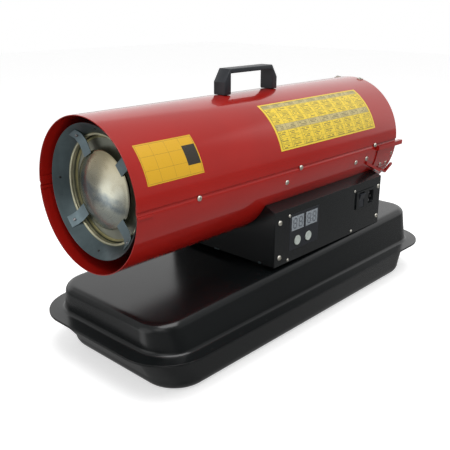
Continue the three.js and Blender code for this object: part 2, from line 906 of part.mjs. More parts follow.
function sidePlate(side) {
  const roofInner = roofTopX - boxSheet;
  const points = [
    [boxHalfWidth, boxLowEdge],
    [boxHalfWidth, boxShoulderHeight],
    [roofInner, roofHeightAt(roofInner)],
    [roofInner, roofHeightAt(roofInner) - boxSheet * roofAcross],
    [boxHalfWidth - boxSheet, roofHeightAt(boxHalfWidth - boxSheet) - boxSheet * roofAcross],
    [boxHalfWidth - boxSheet, boxLowEdge],
  ].map(([x, z]) => [side * x, z]);
  return alongY(outline(points), boxFront, boxRear).subtract(barrelClear);
}

const panelInner = boxHalfWidth - boxSheet;
function panelCut(y, z, width, height) {
  return block(
    [panelInner - overrun, y - width / 2, z - height / 2],
    [boxHalfWidth + overrun, y + width / 2, z + height / 2],
  );
}

function panelHole(y, z, radius) {
  return rod([panelInner - overrun, y, z], [boxHalfWidth + overrun, y, z], radius);
}

const moduleBodyWidth = moduleWidth - 2 * moduleBezelRim;
const moduleBodyHeight = moduleHeight - 2 * moduleBezelRim;
const controlPanel = sidePlate(1)
  .subtract(panelCut(displayLeftY, displayZ, displayWidth + 2 * seatGap, displayHeight + 2 * seatGap))
  .subtract(panelCut(displayRightY, displayZ, displayWidth + 2 * seatGap, displayHeight + 2 * seatGap))
  .subtract(panelHole(buttonLeftY, buttonZ, buttonRadius + runningGap))
  .subtract(panelHole(buttonRightY, buttonZ, buttonRadius + runningGap))
  .subtract(panelCut(moduleY, moduleZ, moduleBodyWidth + 2 * seatGap, moduleBodyHeight + 2 * seatGap));
addPiece(heater, 'control_panel', controlPanel, 'blackPaint');
addPiece(heater, 'side_cover', sidePlate(-1), 'blackPaint');

function foot(side) {
  const front = boxFront + footFromFront;
  const rear = boxRear - footFromRear;
  const top = boxFloorHeight - seatGap;
  const wedge = outline([
    [front, tankTopAt(front) + seatGap],
    [rear, tankTopAt(rear) + seatGap],
    [rear, top],
    [front, top],
  ]);
  return alongX(wedge, side * footX - footWidth / 2, side * footX + footWidth / 2);
}
addPiece(heater, 'box_foot_right', foot(1), 'galvanised');
addPiece(heater, 'box_foot_left', foot(-1), 'galvanised');

// Panel fittings
const displayFront = boxHalfWidth + displayProud;
const displayBack = displayFront - displayDepth;
const boardFace = displayBack - seatGap;

function displayModule(y) {
  return block(
    [displayBack, y - displayWidth / 2, displayZ - displayHeight / 2],
    [displayFront, y + displayWidth / 2, displayZ + displayHeight / 2],
  );
}
addPiece(heater, 'display_left', displayModule(displayLeftY), 'display');
addPiece(heater, 'display_right', displayModule(displayRightY), 'display');

const buttonFront = boxHalfWidth + buttonProud;
const collarFront = panelInner - seatGap;
const collarBack = collarFront - buttonCollarThick;
function pushButton(y) {
  return join(
    rod([collarBack, y, buttonZ], [buttonFront, y, buttonZ], buttonRadius, midRound),
    rod([collarBack, y, buttonZ], [collarFront, y, buttonZ], buttonCollar, midRound),
    rod([collarBack - buttonStemLength, y, buttonZ], [collarBack, y, buttonZ], buttonStem),
  );
}
addPiece(heater, 'button_left', pushButton(buttonLeftY), 'paleButton');
addPiece(heater, 'button_right', pushButton(buttonRightY), 'paleButton');

const stemEnd = collarBack - buttonStemLength;
const switchFace = stemEnd - buttonTravel - seatGap;
function switchBlock(y) {
  const half = switchBlockSize / 2;
  return block([boardFace - boardThick, y - half, buttonZ - half], [switchFace, y + half, buttonZ + half]);
}
const board = join(
  block([boardFace - boardThick, boardFront, boardLow], [boardFace, boardRear, boardHigh]),
  switchBlock(buttonLeftY),
  switchBlock(buttonRightY),
);
addPiece(heater, 'control_board', board, 'board');

// Power module with a rocker well and a socket, whose contacts are a block of their own
const bezelBack = boxHalfWidth + seatGap;
const bezelFront = bezelBack + moduleBezel;
const socketY = moduleY + socketOffset;
const socketFloor = bezelFront - socketDepth;
const contactFloor = socketFloor - contactBase - seatGap;
const rockerY = moduleY + rockerOffset;
const rockerWellHalf = rockerWidth / 2 + rockerSideGap;
const rockerPivotX = bezelFront - rockerPivotDepth;
const rockerPinEnd = rockerWellHalf + rockerPinReach;

const socketMouth = outline([
  [socketY - socketWidth / 2, moduleZ - socketHeight / 2],
  [socketY + socketWidth / 2 - socketCorner, moduleZ - socketHeight / 2],
  [socketY + socketWidth / 2, moduleZ - socketHeight / 2 + socketCorner],
  [socketY + socketWidth / 2, moduleZ + socketHeight / 2 - socketCorner],
  [socketY + socketWidth / 2 - socketCorner, moduleZ + socketHeight / 2],
  [socketY - socketWidth / 2, moduleZ + socketHeight / 2],
]);
const powerModule = join(
  block(
    [bezelBack, moduleY - moduleWidth / 2, moduleZ - moduleHeight / 2],
    [bezelFront, moduleY + moduleWidth / 2, moduleZ + moduleHeight / 2],
  ),
  block(
    [bezelFront - moduleDepth, moduleY - moduleBodyWidth / 2, moduleZ - moduleBodyHeight / 2],
    [bezelFront, moduleY + moduleBodyWidth / 2, moduleZ + moduleBodyHeight / 2],
  ),
).subtract(alongX(socketMouth, contactFloor, bezelFront + overrun)).subtract(block(
  [bezelFront - rockerWellDepth, rockerY - rockerWellHalf, moduleZ - rockerWellHeight / 2],
  [bezelFront + overrun, rockerY + rockerWellHalf, moduleZ + rockerWellHeight / 2],
)).subtract(rod(
  [rockerPivotX, rockerY - rockerPinEnd - seatGap, moduleZ],
  [rockerPivotX, rockerY + rockerPinEnd + seatGap, moduleZ],
  rockerPin + holeGap,
));
addPiece(heater, 'power_module', powerModule, 'blackPlastic');

const contactHalfY = socketWidth / 2 - seatGap;
const contactHalfZ = socketHeight / 2 - socketCorner - seatGap;
function contactPin(y, z) {
  return block(
    [socketFloor - contactBase / 2, y - contactThick / 2, z - contactWidth / 2],
    [socketFloor + contactReach, y + contactThick / 2, z + contactWidth / 2],
  );
}
const contactBlock = block(
  [contactFloor + seatGap, socketY - contactHalfY, moduleZ - contactHalfZ],
  [socketFloor, socketY + contactHalfY, moduleZ + contactHalfZ],
);
const contacts = join(
  contactBlock,
  contactPin(socketY - contactOffset, moduleZ - contactSpacing),
  contactPin(socketY - contactOffset, moduleZ + contactSpacing),
  contactPin(socketY + contactOffset, moduleZ),
);
addPiece(heater, 'inlet_contacts', contacts, 'steel');

const rockerHalf = rockerHeight / 2;
const rockerOutline = outline([
  [-rockerBack, -rockerBackHalf],
  [rockerSideRise, -rockerHalf],
  [rockerEndRise, -rockerHalf],
  [rockerMidRise, 0],
  [rockerEndRise, rockerHalf],
  [rockerSideRise, rockerHalf],
  [-rockerBack, rockerBackHalf],
]);
const rocker = join(
  alongY(rockerOutline, -rockerWidth / 2, rockerWidth / 2),
  rod([0, -rockerPinEnd, 0], [0, rockerPinEnd, 0], rockerPin),
);
const rockerMesh = addPiece(heater, 'rocker_switch', rocker, 'blackPlastic');
rockerMesh.position.set(rockerPivotX, rockerY, moduleZ);
rockerMesh.rotation.y = rockerTilt * degree;

// Electrics in the box
const transformerLow = boxFloorTop + seatGap;
const transformerNear = Math.abs(transformerX) - transformerWidth / 2;
const transformerUnder = Math.sqrt(barrelRadius ** 2 - transformerNear ** 2) + transformerClear;
const transformerTop = barrelAxisHeight - transformerUnder;
const transformerTabTop = transformerLow + transformerTabThick;
const transformerTabHalf = transformerLength / 2 + transformerTabReach;
const transformer = join(
  block(
    [transformerX - transformerWidth / 2, transformerY - transformerLength / 2, transformerLow],
    [transformerX + transformerWidth / 2, transformerY + transformerLength / 2, transformerTop],
  ),
  block(
    [transformerX - transformerTabWidth / 2, transformerY - transformerTabHalf, transformerLow],
    [transformerX + transformerTabWidth / 2, transformerY + transformerTabHalf, transformerTabTop],
  ),
);
addPiece(heater, 'ignition_transformer', transformer, 'blackPlastic');

const probeY = boxRear + seatGap + probeClipDepth - probeRadius;
const probe = join(
  rod([probeX, probeY, probeZ - probeLength / 2], [probeX, probeY, probeZ + probeLength / 2], probeRadius),
  block(
    [probeX - probeClipWidth / 2, boxRear + seatGap, probeZ - probeClipDepth / 2],
    [probeX + probeClipWidth / 2, boxRear + seatGap + probeClipDepth, probeZ + probeClipDepth / 2],
  ),
);
addPiece(heater, 'temperature_probe', probe, 'blackPlastic');

// Everything round is carried about the barrel's axis
const barrel = new THREE.Group();
barrel.position.z = barrelAxisHeight;
heater.add(barrel);
const burner = new THREE.Group();
burner.position.z = burnerRise;
barrel.add(burner);

const barrelInner = barrelRadius - barrelSheet;
const lipOuter = barrelInner - seatGap;
const lipInner = lipOuter - barrelSheet;
const joggle = barrelJoggleAngle;
const seam = barrelSeamAngle;
function barrelBand(inner, outer, fromAngle, toAngle, curveSegments) {
  return alongY(arcBand(inner, outer, fromAngle, toAngle), barrelFront, barrelRear, curveSegments);
}
const lowerShell = join(
  barrelBand(barrelInner, barrelRadius, seam - halfCircle, -seam),
  barrelBand(lipInner, barrelRadius, -joggle - seam, -seam, lipSteps),
  barrelBand(lipInner, barrelRadius, seam - halfCircle, joggle + seam - halfCircle, lipSteps),
  barrelBand(lipInner, lipOuter, -joggle, barrelLipAngle, lipSteps),
  barrelBand(lipInner, lipOuter, halfCircle - barrelLipAngle, halfCircle + joggle, lipSteps),
);
const hoseReach = barrelRadius + overrun;
function hoseWay(x, y) {
  return rod([x, y, -hoseReach], [x, y, -barrelRadius / 2], hoseHole);
}
const lowerBarrel = lowerShell
  .subtract(hoseWay(pickupX, hoseFrontY))
  .subtract(hoseWay(airHoseX, hoseFrontY))
  .subtract(hoseWay(0, hoseDownY));
addPiece(barrel, 'barrel_lower_shell', lowerBarrel, 'redPaint');
const upperShell = barrelBand(barrelInner, barrelRadius, seam, halfCircle - seam);
addPiece(barrel, 'barrel_upper_shell', upperShell, 'redPaint');

// Handle: two posts and a bar in one moulding
const handleLow = barrelRadius + seatGap;
const handleTop = barrelRadius + handleRise;
const handleBend = handleLow + handleShoulder;
const handleOutline = outline([
  [handleFront, handleLow],
  [handleFront, handleBend],
  [handleFront + handleSlopeIn, handleTop],
  [handleRear - handleSlopeIn, handleTop],
  [handleRear, handleBend],
  [handleRear, handleLow],
]);
const handleGap = block(
  [-handleWidth, handleFront + handlePost, handleLow - overrun],
  [handleWidth, handleRear - handlePost, handleTop - handleBar],
);
const handleBevelled = new THREE.ExtrudeGeometry(handleOutline, {
  depth: handleWidth - 2 * handleEdge,
  bevelThickness: handleEdge,
  bevelSize: handleEdge,
  bevelOffset: -handleEdge,
  bevelSegments: lipSteps,
});
handleBevelled.rotateX(quarterTurn);
handleBevelled.rotateZ(quarterTurn);
handleBevelled.translate(-(handleWidth / 2 - handleEdge), 0, 0);
const handle = solid(handleBevelled).subtract(handleGap);
addPiece(barrel, 'handle', handle, 'blackPlastic');

// Cord hooks: a plate that follows the barrel, a rail, a sloping arm and a J hook
const hookInner = barrelRadius + seatGap;
const hookOuter = hookInner + hookSheet;
const hookTabFront = boxRear + hookTabSetback;
const hookPlateArc = arcBand(hookInner, hookOuter, hookPlateLowAngle, hookPlateHighAngle);
const hookTabArc = arcBand(hookInner, hookOuter, hookTabLowAngle, hookPlateHighAngle);
const hookPlate = join(
  alongY(hookPlateArc, hookPlateFront, hookPlateRear, lipSteps * 2),
  alongY(hookTabArc, hookTabFront, hookPlateRear, lipSteps * 2),
);
const hookClear = rod(
  [0, hookArmFront - overrun, 0],
  [0, barrelRear + seatGap, 0],
  hookInner,
  barrelRound,
);
const hookRail = block(
  [hookInner - seatGap, hookRailFront, -hookRailDrop - hookRailHeight / 2],
  [hookInner + hookRailDepth, hookRailRear, -hookRailDrop + hookRailHeight / 2],
).subtract(hookClear);
const hookArmOutline = outline([
  [hookArmFront, -hookArmFrontDrop - hookArmHeight / 2],
  [hookArmRear, -hookArmRearDrop - hookArmHeight / 2],
  [hookArmRear, -hookArmRearDrop + hookArmHeight / 2],
  [hookArmFront, -hookArmFrontDrop + hookArmHeight / 2],
]);
const hookArmInner = barrelRadius * Math.cos(hookTabLowAngle * degree);
const hookArm = alongX(hookArmOutline, hookArmInner, barrelRadius - hookArmUnderRadius).subtract(hookClear);
const hookOutline = outline([
  [hookRootY, -hookRootDrop],
  [hookLowY, -hookLowDrop],
  [hookTipY, -hookTipDrop],
  [hookTipY, -hookTipDrop + hookThick],
  [hookLowY, -hookLowDrop + hookThick],
  [hookRootY, -hookRootDrop + hookThick],
]);
const hook = alongX(hookOutline, hookX - hookWidth / 2, hookX + hookWidth / 2).subtract(hookClear);
const hookWeb = block(
  [hookX - 2 * hookWidth - hookSheet, hookRootY - hookWidth, -hookRootDrop],
  [hookX + hookWidth / 2, hookRootY + hookSheet, -hookRootDrop + hookThick],
).subtract(hookClear);
addPiece(barrel, 'cord_hook_bracket', join(hookPlate, hookRail, hookArm, hook, hookWeb), 'redPaint');

// Rear guard: concentric wires on bars
const guardOuter = barrelInner - barrelSheet - 2 * seatGap;
const guardRear = barrelRear - guardInset;
const guardFrontY = guardRear - guardWire;
function guardRing(radius) {
  return turnedY([
    [radius - guardWire, guardFrontY],
    [radius, guardFrontY],
    [radius, guardRear],
    [radius - guardWire, guardRear],
  ], midRound);
}
const guardPieces = Array.from({ length: guardRings }, (_, i) => {
  const share = i / (guardRings - 1);
  return guardRing(guardHubRadius + (guardOuter - guardHubRadius) * share);
});
for (let i = 0; i < guardBars; i += 1) {
  const reach = guardOuter - guardWire / 2;
  const angle = (i / guardBars) * Math.PI + quarterTurn;
  const tip = [reach * Math.cos(angle), guardFrontY + guardWire / 2, reach * Math.sin(angle)];
  const tail = [-tip[0], tip[1], -tip[2]];
  guardPieces.push(rod(tail, tip, guardWire / 2, wireRound));
}
addPiece(barrel, 'rear_guard', join(...guardPieces), 'blackPaint');

// Chamber, front ring, flame tube and rear plate
const chamberInner = chamberRadius - chamberSheet;
const chamber = turnedY([
  [chamberInner, chamberFront],
  [chamberRadius, chamberFront],
  [chamberRadius, chamberRear],
  [chamberInner, chamberRear],
], bigRound);
addPiece(burner, 'combustion_chamber', chamber, 'galvanised');

const ringInner = chamberRadius + seatGap;
const ringOuter = ringInner + chamberSheet;
const ringSlope = (ringThroatY - ringFront) / (ringOuter - ringThroat);
const ringAxial = chamberSheet * Math.hypot(1, ringSlope);
const beadPoints = Array.from({ length: beadSteps + 1 }, (_, i) => {
  const angle = (i / beadSteps) * Math.PI;
  return [ringThroat - ringBead * Math.sin(angle), ringThroatY - ringBead * Math.cos(angle)];
});
const frontRing = turnedY([
  [ringInner, ringFront + ringLip],
  [ringOuter, ringFront + ringLip],
  [ringOuter, ringFront - ringAxial],
  ...beadPoints,
  [ringInner, ringFront],
], bigRound);
addPiece(burner, 'chamber_front_ring', frontRing, 'galvanised');

const tubeInner = flameTubeRadius - flameTubeSheet;
const flameTubeRear = chamberRear - seatGap;
const fireRingFront = flameTubeFront + fireRingDrop;
const fireRingBack = fireRingFront + flameTubeSheet;
const flameTube = turnedY([
  [tubeInner, fireRingBack],
  [fireRingHole, fireRingBack],
  [fireRingHole, fireRingFront],
  [tubeInner, fireRingFront],
  [tubeInner, flameTubeFront],
  [flameTubeRadius, flameTubeFront - flameTubeBead],
  [flameTubeRadius + flameTubeBead, flameTubeFront],
  [flameTubeRadius, flameTubeFront + flameTubeBead],
  [flameTubeRadius, flameTubeRear - flameTubeSheet],
  [chamberInner - seatGap, flameTubeRear - flameTubeSheet],
  [chamberInner - seatGap, flameTubeRear],
  [tubeInner, flameTubeRear],
], bigRound);
addPiece(burner, 'flame_tube', flameTube, 'galvanised');

// Dome and its straps
const domeRise = domeProud - domeSheet;
const domeCurve = (domeBulge * domeBulge + domeRise * domeRise) / (2 * domeRise);
const domeCentreY = domeY - domeProud + domeCurve;
function domePoints(skin) {
  const radius = domeCurve - skin;
  const open = Math.acos((domeCentreY - domeY + domeSheet - skin) / radius);
  return Array.from({ length: domeSteps + 1 }, (_, i) => {
    const angle = open * (1 - i / domeSteps);
    return [radius * Math.sin(angle), domeCentreY - radius * Math.cos(angle)];
  });
}
const domeOuterPoints = domePoints(0);
const domeInnerPoints = domePoints(domeSheet).reverse();
const dome = turnedY([
  ...domeInnerPoints,
  [domeRim, domeY],
  [domeRim, domeY - domeSheet],
  [domeBulge, domeY - domeSheet],
  ...domeOuterPoints.slice(1),
], bigRound);
addPiece(burner, 'spreader_dome', dome, 'stainless');

function strapSeatAt(radius) {
  const cornerRadius = Math.hypot(radius, strapWidth / 2);
  return ringFront - ringAxial + (ringOuter - cornerRadius) * ringSlope - strapGap;
}
const strapBack = domeY - domeSheet - strapProud;
const strapBackPoints = [
  [strapInner, strapBack],
  [strapKnee, strapBack],
  [strapSeat, strapSeatAt(strapSeat)],
  [strapOuter, strapSeatAt(strapOuter)],
];
const strapFrontPoints = strapBackPoints.map(([radius, y]) => [radius, y - strapThick]).reverse();
const strapOutline = outline([...strapBackPoints, ...strapFrontPoints]);
strapTurns.forEach((turn, i) => {
  const geometry = new THREE.ExtrudeGeometry(strapOutline, { depth: strapWidth, bevelEnabled: false });
  geometry.translate(0, 0, -strapWidth / 2);
  geometry.rotateY(-THREE.MathUtils.degToRad(turn));
  addPiece(burner, `spreader_strap_${i + 1}`, solid(geometry), 'galvanised');
});

// Burner head in the rear plate, nozzle, electrodes, photocell and limit switch
const plateFront = chamberRear + seatGap;
const plateRear = plateFront + rearPlateSheet;
const headFlangeY = plateRear + seatGap;
const headRear = headFlangeY + headSheet;
const electrodeZ = electrodeRise;
const headBack = headFlangeY - headDepth / 2;
function through(x, z, radius, sides = holeRound) {
  return rod([x, chamberRear - headDepth, z], [x, chamberRear + headDepth, z], radius, sides);
}
const rearPlateBody = turnedY([
  [0, plateFront],
  [rearPlateRadius, plateFront],
  [rearPlateRadius, plateRear],
  [0, plateRear],
], bigRound).subtract(through(0, 0, headRadius + holeGap, bigRound));
const rearPlateHoled = rearPlateBody.subtract(through(photocellX, 0, photocellSight));
addPiece(burner, 'chamber_rear_plate', rearPlateHoled, 'galvanised');

const headInner = headRadius - headSheet;
let head = turnedY([
  [0, headBack],
  [headInner, headBack],
  [headInner, headFlangeY - headDepth],
  [headRadius, headFlangeY - headDepth],
  [headRadius, headFlangeY],
  [headFlange, headFlangeY],
  [headFlange, headRear],
  [headInner, headRear],
  [headInner, headBack + headSheet],
  [0, headBack + headSheet],
]);
head = head.subtract(through(0, 0, nozzleRadius + holeGap, smallRound));
head = head.subtract(through(-electrodeX, electrodeZ, electrodeRadius + holeGap));
head = head.subtract(through(electrodeX, electrodeZ, electrodeRadius + holeGap));
for (let i = 0; i < headAirHoles; i += 1) {
  const angle = -quarterTurn + (i - (headAirHoles - 1) / 2) * (fullTurn / (headAirHoles + 2));
  const x = headAirCircle * Math.cos(angle);
  const z = headAirCircle * Math.sin(angle);
  head = head.subtract(through(x, z, headAirHole));
}
addPiece(burner, 'burner_head', head, 'galvanised');

const blockFront = headRear + nozzleBlockGap;
const blockRear = blockFront + nozzleBlockLength;
const nozzleFront = headBack - nozzleReach;
const nozzleCore = turnedY([
  [0, nozzleFront],
  [nozzleTip, nozzleFront],
  [nozzleRadius, nozzleFront + nozzleTip],
  [nozzleRadius, blockFront],
  [nozzleBlockRadius, blockFront],
  [nozzleBlockRadius, blockRear],
  [0, blockRear],
], smallRound);
const barbEnd = blockRear + barbLength;
function barb(x) {
  return rod([x, blockRear - nozzleTip, 0], [x, barbEnd, 0], barbRadius, holeRound);
}
const nozzle = join(nozzleCore, barb(-barbSpacing / 2), barb(barbSpacing / 2));
addPiece(burner, 'nozzle', nozzle, 'brass');

const electrodeRear = headBack + electrodeLength - nozzleReach;
function electrode(side) {
  const x = side * electrodeX;
  const tipX = side * electrodeRadius;
  const front = electrodeRear - electrodeLength;
  const tip = [tipX, front - electrodeWireReach / 2, electrodeZ / 2];
  const tail = [x, electrodeRear + electrodeWireReach, electrodeZ];
  return join(
    rod([x, front, electrodeZ], [x, electrodeRear, electrodeZ], electrodeRadius, holeRound),
    rod([x, front + electrodeWire, electrodeZ], tip, electrodeWire, wireRound),
    rod([x, electrodeRear - electrodeWire, electrodeZ], tail, electrodeWire, wireRound),
  );
}
addPiece(burner, 'electrode_left', electrode(-1), 'ceramic');
addPiece(burner, 'electrode_right', electrode(1), 'ceramic');

const sensorSeat = plateRear + seatGap;
const photocell = turnedY([
  [0, sensorSeat],
  [photocellRadius, sensorSeat],
  [photocellRadius, sensorSeat + photocellLength],
  [0, sensorSeat + photocellLength],
], smallRound).translate([photocellX, 0, 0]);
addPiece(burner, 'photocell', photocell, 'blackPlastic');

const limitSwitch = join(
  rod([limitX, sensorSeat, 0], [limitX, sensorSeat + limitHeight, 0], limitRadius),
  block(
    [limitX - limitRadius, sensorSeat, -limitRadius - limitHeight],
    [limitX + limitRadius, sensorSeat + rearPlateSheet, limitRadius + limitHeight],
  ),
);
addPiece(burner, 'limit_thermostat', limitSwitch, 'aluminium');

// Saddles: a band under a drum, with two legs down to the barrel
function saddle(drumRadius, drumRise, y, width) {
  const from = y - width / 2;
  const to = y + width / 2;
  const bandInner = drumRadius + seatGap;
  const bandOuter = bandInner + saddleSheet;
  const bandArc = arcBand(bandInner, bandOuter, -90 - saddleSpread, -90 + saddleSpread);
  const band = alongY(bandArc, from, to, lipSteps * 4).translate([0, 0, drumRise]);
  const legAngle = saddleLegAngle * degree;
  const legTop = bandInner + saddleSheet / 2 - drumRise * Math.cos(legAngle);
  const legs = [-1, 1].map((side) => {
    const geometry = new THREE.BoxGeometry(saddleSheet * 2, width, barrelRadius - legTop);
    geometry.translate(0, y, -(barrelRadius + legTop) / 2);
    geometry.rotateY(side * legAngle);
    return solid(geometry);
  });
  const wall = rod([0, from - overrun, 0], [0, to + overrun, 0], barrelInner - seatGap, barrelRound);
  return band.add(join(...legs).intersect(wall));
}
const chamberSaddle = (y) => saddle(chamberRadius, burnerRise, y, saddleWidth);
addPiece(barrel, 'chamber_saddle_front', chamberSaddle(saddleFrontY), 'galvanised');
addPiece(barrel, 'chamber_saddle_rear', chamberSaddle(saddleRearY), 'galvanised');
addPiece(barrel, 'motor_saddle', saddle(motorRadius, 0, motorSaddleY, motorSaddleWidth), 'galvanised');

// Motor, shaft and fan
const motorRear = motorFront + motorLength;
const motorBore = shaftRadius + runningGap;
const motor = turnedY([
  [motorBore, motorFront - motorBossLength],
  [motorBossRadius, motorFront - motorBossLength],
  [motorBossRadius, motorFront],
  [motorRadius - motorEdge, motorFront],
  [motorRadius, motorFront + motorEdge],
  [motorRadius, motorRear - motorEdge],
  [motorRadius - motorEdge, motorRear],
  [motorBore, motorRear],
]);
addPiece(barrel, 'motor', motor, 'blackPaint');

const pumpFront = motorRear + seatGap;
const pumpRear = pumpFront + pumpBodyLength;
const rotorFront = pumpFront + pumpRotorEnd;
const rotorRear = pumpRear - pumpRotorEnd;
addPiece(barrel, 'motor_shaft', rod([0, shaftFront, 0], [0, rotorRear, 0], shaftRadius), 'steel');

const fanBore = shaftRadius + seatGap;
const fanRear = fanFront + fanDepth;
let fan = turnedY([
  [fanBore, fanFront],
  [fanHubRadius, fanFront],
  [fanHubRadius, fanRear],
  [fanBore, fanRear],
], smallRound);
const bladeMid = (fanFront + fanRear) / 2;
const bladeRoot = fanHubRadius - fanBladeThick * 2;
const fanEnvelope = turnedY([
  [bladeRoot, fanFront],
  [fanRadius, fanFront],
  [fanRadius, fanRear],
  [bladeRoot, fanRear],
], bigRound);
for (let i = 0; i < fanBlades; i += 1) {
  const bladeReach = fanRadius + overrun - bladeRoot;
  const geometry = new THREE.BoxGeometry(fanBladeWidth, fanBladeThick, bladeReach, 4, 1, 1);
  const points = geometry.getAttribute('position');
  for (let p = 0; p < points.count; p += 1) {
    const across = points.getX(p) / (fanBladeWidth / 2);
    points.setY(p, points.getY(p) + fanBladeThick * 2 * (1 - across * across));
  }
  geometry.rotateZ(fanBladePitch * degree);
  geometry.translate(0, bladeMid, bladeRoot + bladeReach / 2);
  geometry.rotateY((i / fanBlades) * fullTurn);
  fan = fan.add(solid(geometry).intersect(fanEnvelope));
}
addPiece(barrel, 'fan', fan, 'aluminium');

// Air pump: a bored body, a slotted rotor, and a cover with a filter and the pressure screw
const pumpBoreCut = rod(
  [0, pumpFront - overrun, pumpOffset],
  [0, pumpRear + overrun, pumpOffset],
  pumpBore,
  midRound,
);
const pumpBody = rod([0, pumpFront, 0], [0, pumpRear, 0], pumpBodyRadius, midRound).subtract(pumpBoreCut);
addPiece(barrel, 'pump_body', pumpBody, 'aluminium');

let pumpRotor = turnedY([
  [fanBore, rotorFront],
  [pumpRotorRadius, rotorFront],
  [pumpRotorRadius, rotorRear],
  [fanBore, rotorRear],
]);
for (let i = 0; i < pumpSlots; i += 1) {
  const geometry = new THREE.BoxGeometry(pumpSlotWidth, pumpBodyLength + overrun, pumpSlotDepth + overrun);
  geometry.translate(0, (rotorFront + rotorRear) / 2, pumpRotorRadius - pumpSlotDepth / 2 + overrun / 2);
  geometry.rotateY((i / pumpSlots) * fullTurn);
  pumpRotor = pumpRotor.subtract(solid(geometry));
}
addPiece(barrel, 'pump_rotor', pumpRotor, 'steel');

const coverFront = pumpRear + seatGap;
const coverFloor = coverFront + coverCavity;
const coverRear = coverFloor + coverBack;
const coverY = coverFront + coverCavity / 2;
const portEnd = -coverRadius - portLength;
const screwBore = screwRadius + seatGap;
const cover = turnedY([
  [coverRadius - coverWall, coverFront],
  [coverRadius, coverFront],
  [coverRadius, coverRear],
  [coverBossRadius, coverRear],
  [coverBossRadius, coverRear + coverBossLength],
  [screwBore, coverRear + coverBossLength],
  [screwBore, coverFloor],
  [coverRadius - coverWall, coverFloor],
]).add(rod([0, coverY, -coverRadius + coverWall / 2], [0, coverY, portEnd], portRadius, holeRound));
addPiece(barrel, 'pump_end_cover', cover, 'aluminium');

const filterRear = coverFloor - seatGap;
const pumpFilter = turnedY([
  [filterBore, filterRear - filterThick],
  [coverRadius - coverWall - seatGap, filterRear - filterThick],
  [coverRadius - coverWall - seatGap, filterRear],
  [filterBore, filterRear],
]);
addPiece(barrel, 'pump_filter', pumpFilter, 'felt');

const screwSeat = coverRear + coverBossLength + seatGap;
const pressureScrew = join(
  rod([0, coverFloor, 0], [0, screwSeat, 0], screwRadius),
  rod([0, screwSeat, 0], [0, screwSeat + screwHeadThick, 0], screwHeadRadius),
).subtract(block(
  [-screwHeadRadius - overrun, screwSeat + screwHeadThick / 2, -screwSlot / 2],
  [screwHeadRadius + overrun, screwSeat + screwHeadThick + overrun, screwSlot / 2],
));
addPiece(barrel, 'pressure_screw', pressureScrew, 'brass');

// Hoses: along curves that leave and meet their barbs squarely
function hose(points) {
  const knots = points.map((point) => new THREE.Vector3(...point));
  const path = new THREE.CatmullRomCurve3(knots, false, 'centripetal');
  const ring = new THREE.Shape();
  ring.absarc(0, 0, hoseRadius, 0, fullTurn, false);
  const bore = new THREE.Path();
  bore.absarc(0, 0, hoseBore, 0, fullTurn, true);
  ring.holes.push(bore);
  const geometry = new THREE.ExtrudeGeometry(ring, {
    steps: points.length * hoseStepsPerPoint,
    extrudePath: path,
    curveSegments: hoseSides / 2,
  });
  return solid(geometry);
}

const nozzleZ = burnerRise;
const hoseEndY = barbEnd + seatGap;
const turnY = hoseEndY + hoseTurnY;
const turnZ = nozzleZ - hoseTurnY;
const pickupEnd = pickupSeat + pickupBarbHeight + seatGap - barrelAxisHeight;
const fuelBarbX = -barbSpacing / 2;
const airBarbX = barbSpacing / 2;
const fuelRoute = [
  [pickupX, pickupY, pickupEnd],
  [pickupX, pickupY, pickupEnd + hoseTurnY],
  [pickupX, pickupY, -barrelInner],
  [pickupX, pickupY, -barrelInner + hoseUnderBarrel],
  [(pickupX + fuelBarbX) / 2, (pickupY + turnY) / 2, -barrelRadius / 2],
  [fuelBarbX, turnY, turnZ * 2],
  [fuelBarbX, turnY - hoseTurnY / 4, nozzleZ - hoseTurnY / 4],
  [fuelBarbX, hoseEndY + hoseTurnY / 4, nozzleZ],
  [fuelBarbX, hoseEndY, nozzleZ],
];
const airLow = -barrelRadius - hoseUnderBarrel;
const airStart = portEnd - seatGap;
const airRoute = [
  [0, coverY, airStart],
  [0, coverY, airStart - hoseTurnY / 2],
  [0, (coverY + hoseDownY) / 2, (airStart - barrelInner) / 2],
  [0, hoseDownY, -barrelInner + hoseTurnY / 2],
  [0, hoseDownY, -barrelRadius],
  [0, hoseDownY - hoseTurnY, airLow + hoseTurnY / 2],
  [0, hoseDownY - hoseTurnY * 3, airLow],
  [airHoseX, (hoseDownY + hoseFrontY) / 2, airLow],
  [airHoseX, hoseFrontY + hoseTurnY * 3, airLow],
  [airHoseX, hoseFrontY + hoseTurnY, airLow + hoseTurnY / 2],
  [airHoseX, hoseFrontY, -barrelRadius],
  [airHoseX, hoseFrontY, -barrelInner + hoseTurnY],
  [airBarbX, (hoseFrontY + turnY) / 2, -barrelRadius / 2],
  [airBarbX, turnY, turnZ * 2],
  [airBarbX, turnY - hoseTurnY / 4, nozzleZ - hoseTurnY / 4],
  [airBarbX, hoseEndY + hoseTurnY / 4, nozzleZ],
  [airBarbX, hoseEndY, nozzleZ],
];
addPiece(barrel, 'fuel_hose', hose(fuelRoute), 'rubber');
addPiece(barrel, 'air_hose', hose(airRoute), 'rubber');

export default heater;
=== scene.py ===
"""Diesel air heater: finished pieces, finishes and a studio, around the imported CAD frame.

Metres, +Z up. The origin is at the centre of the tank's flat underside. -Y is the hot air outlet,
+Y the fan inlet and +X the control panel side.
"""

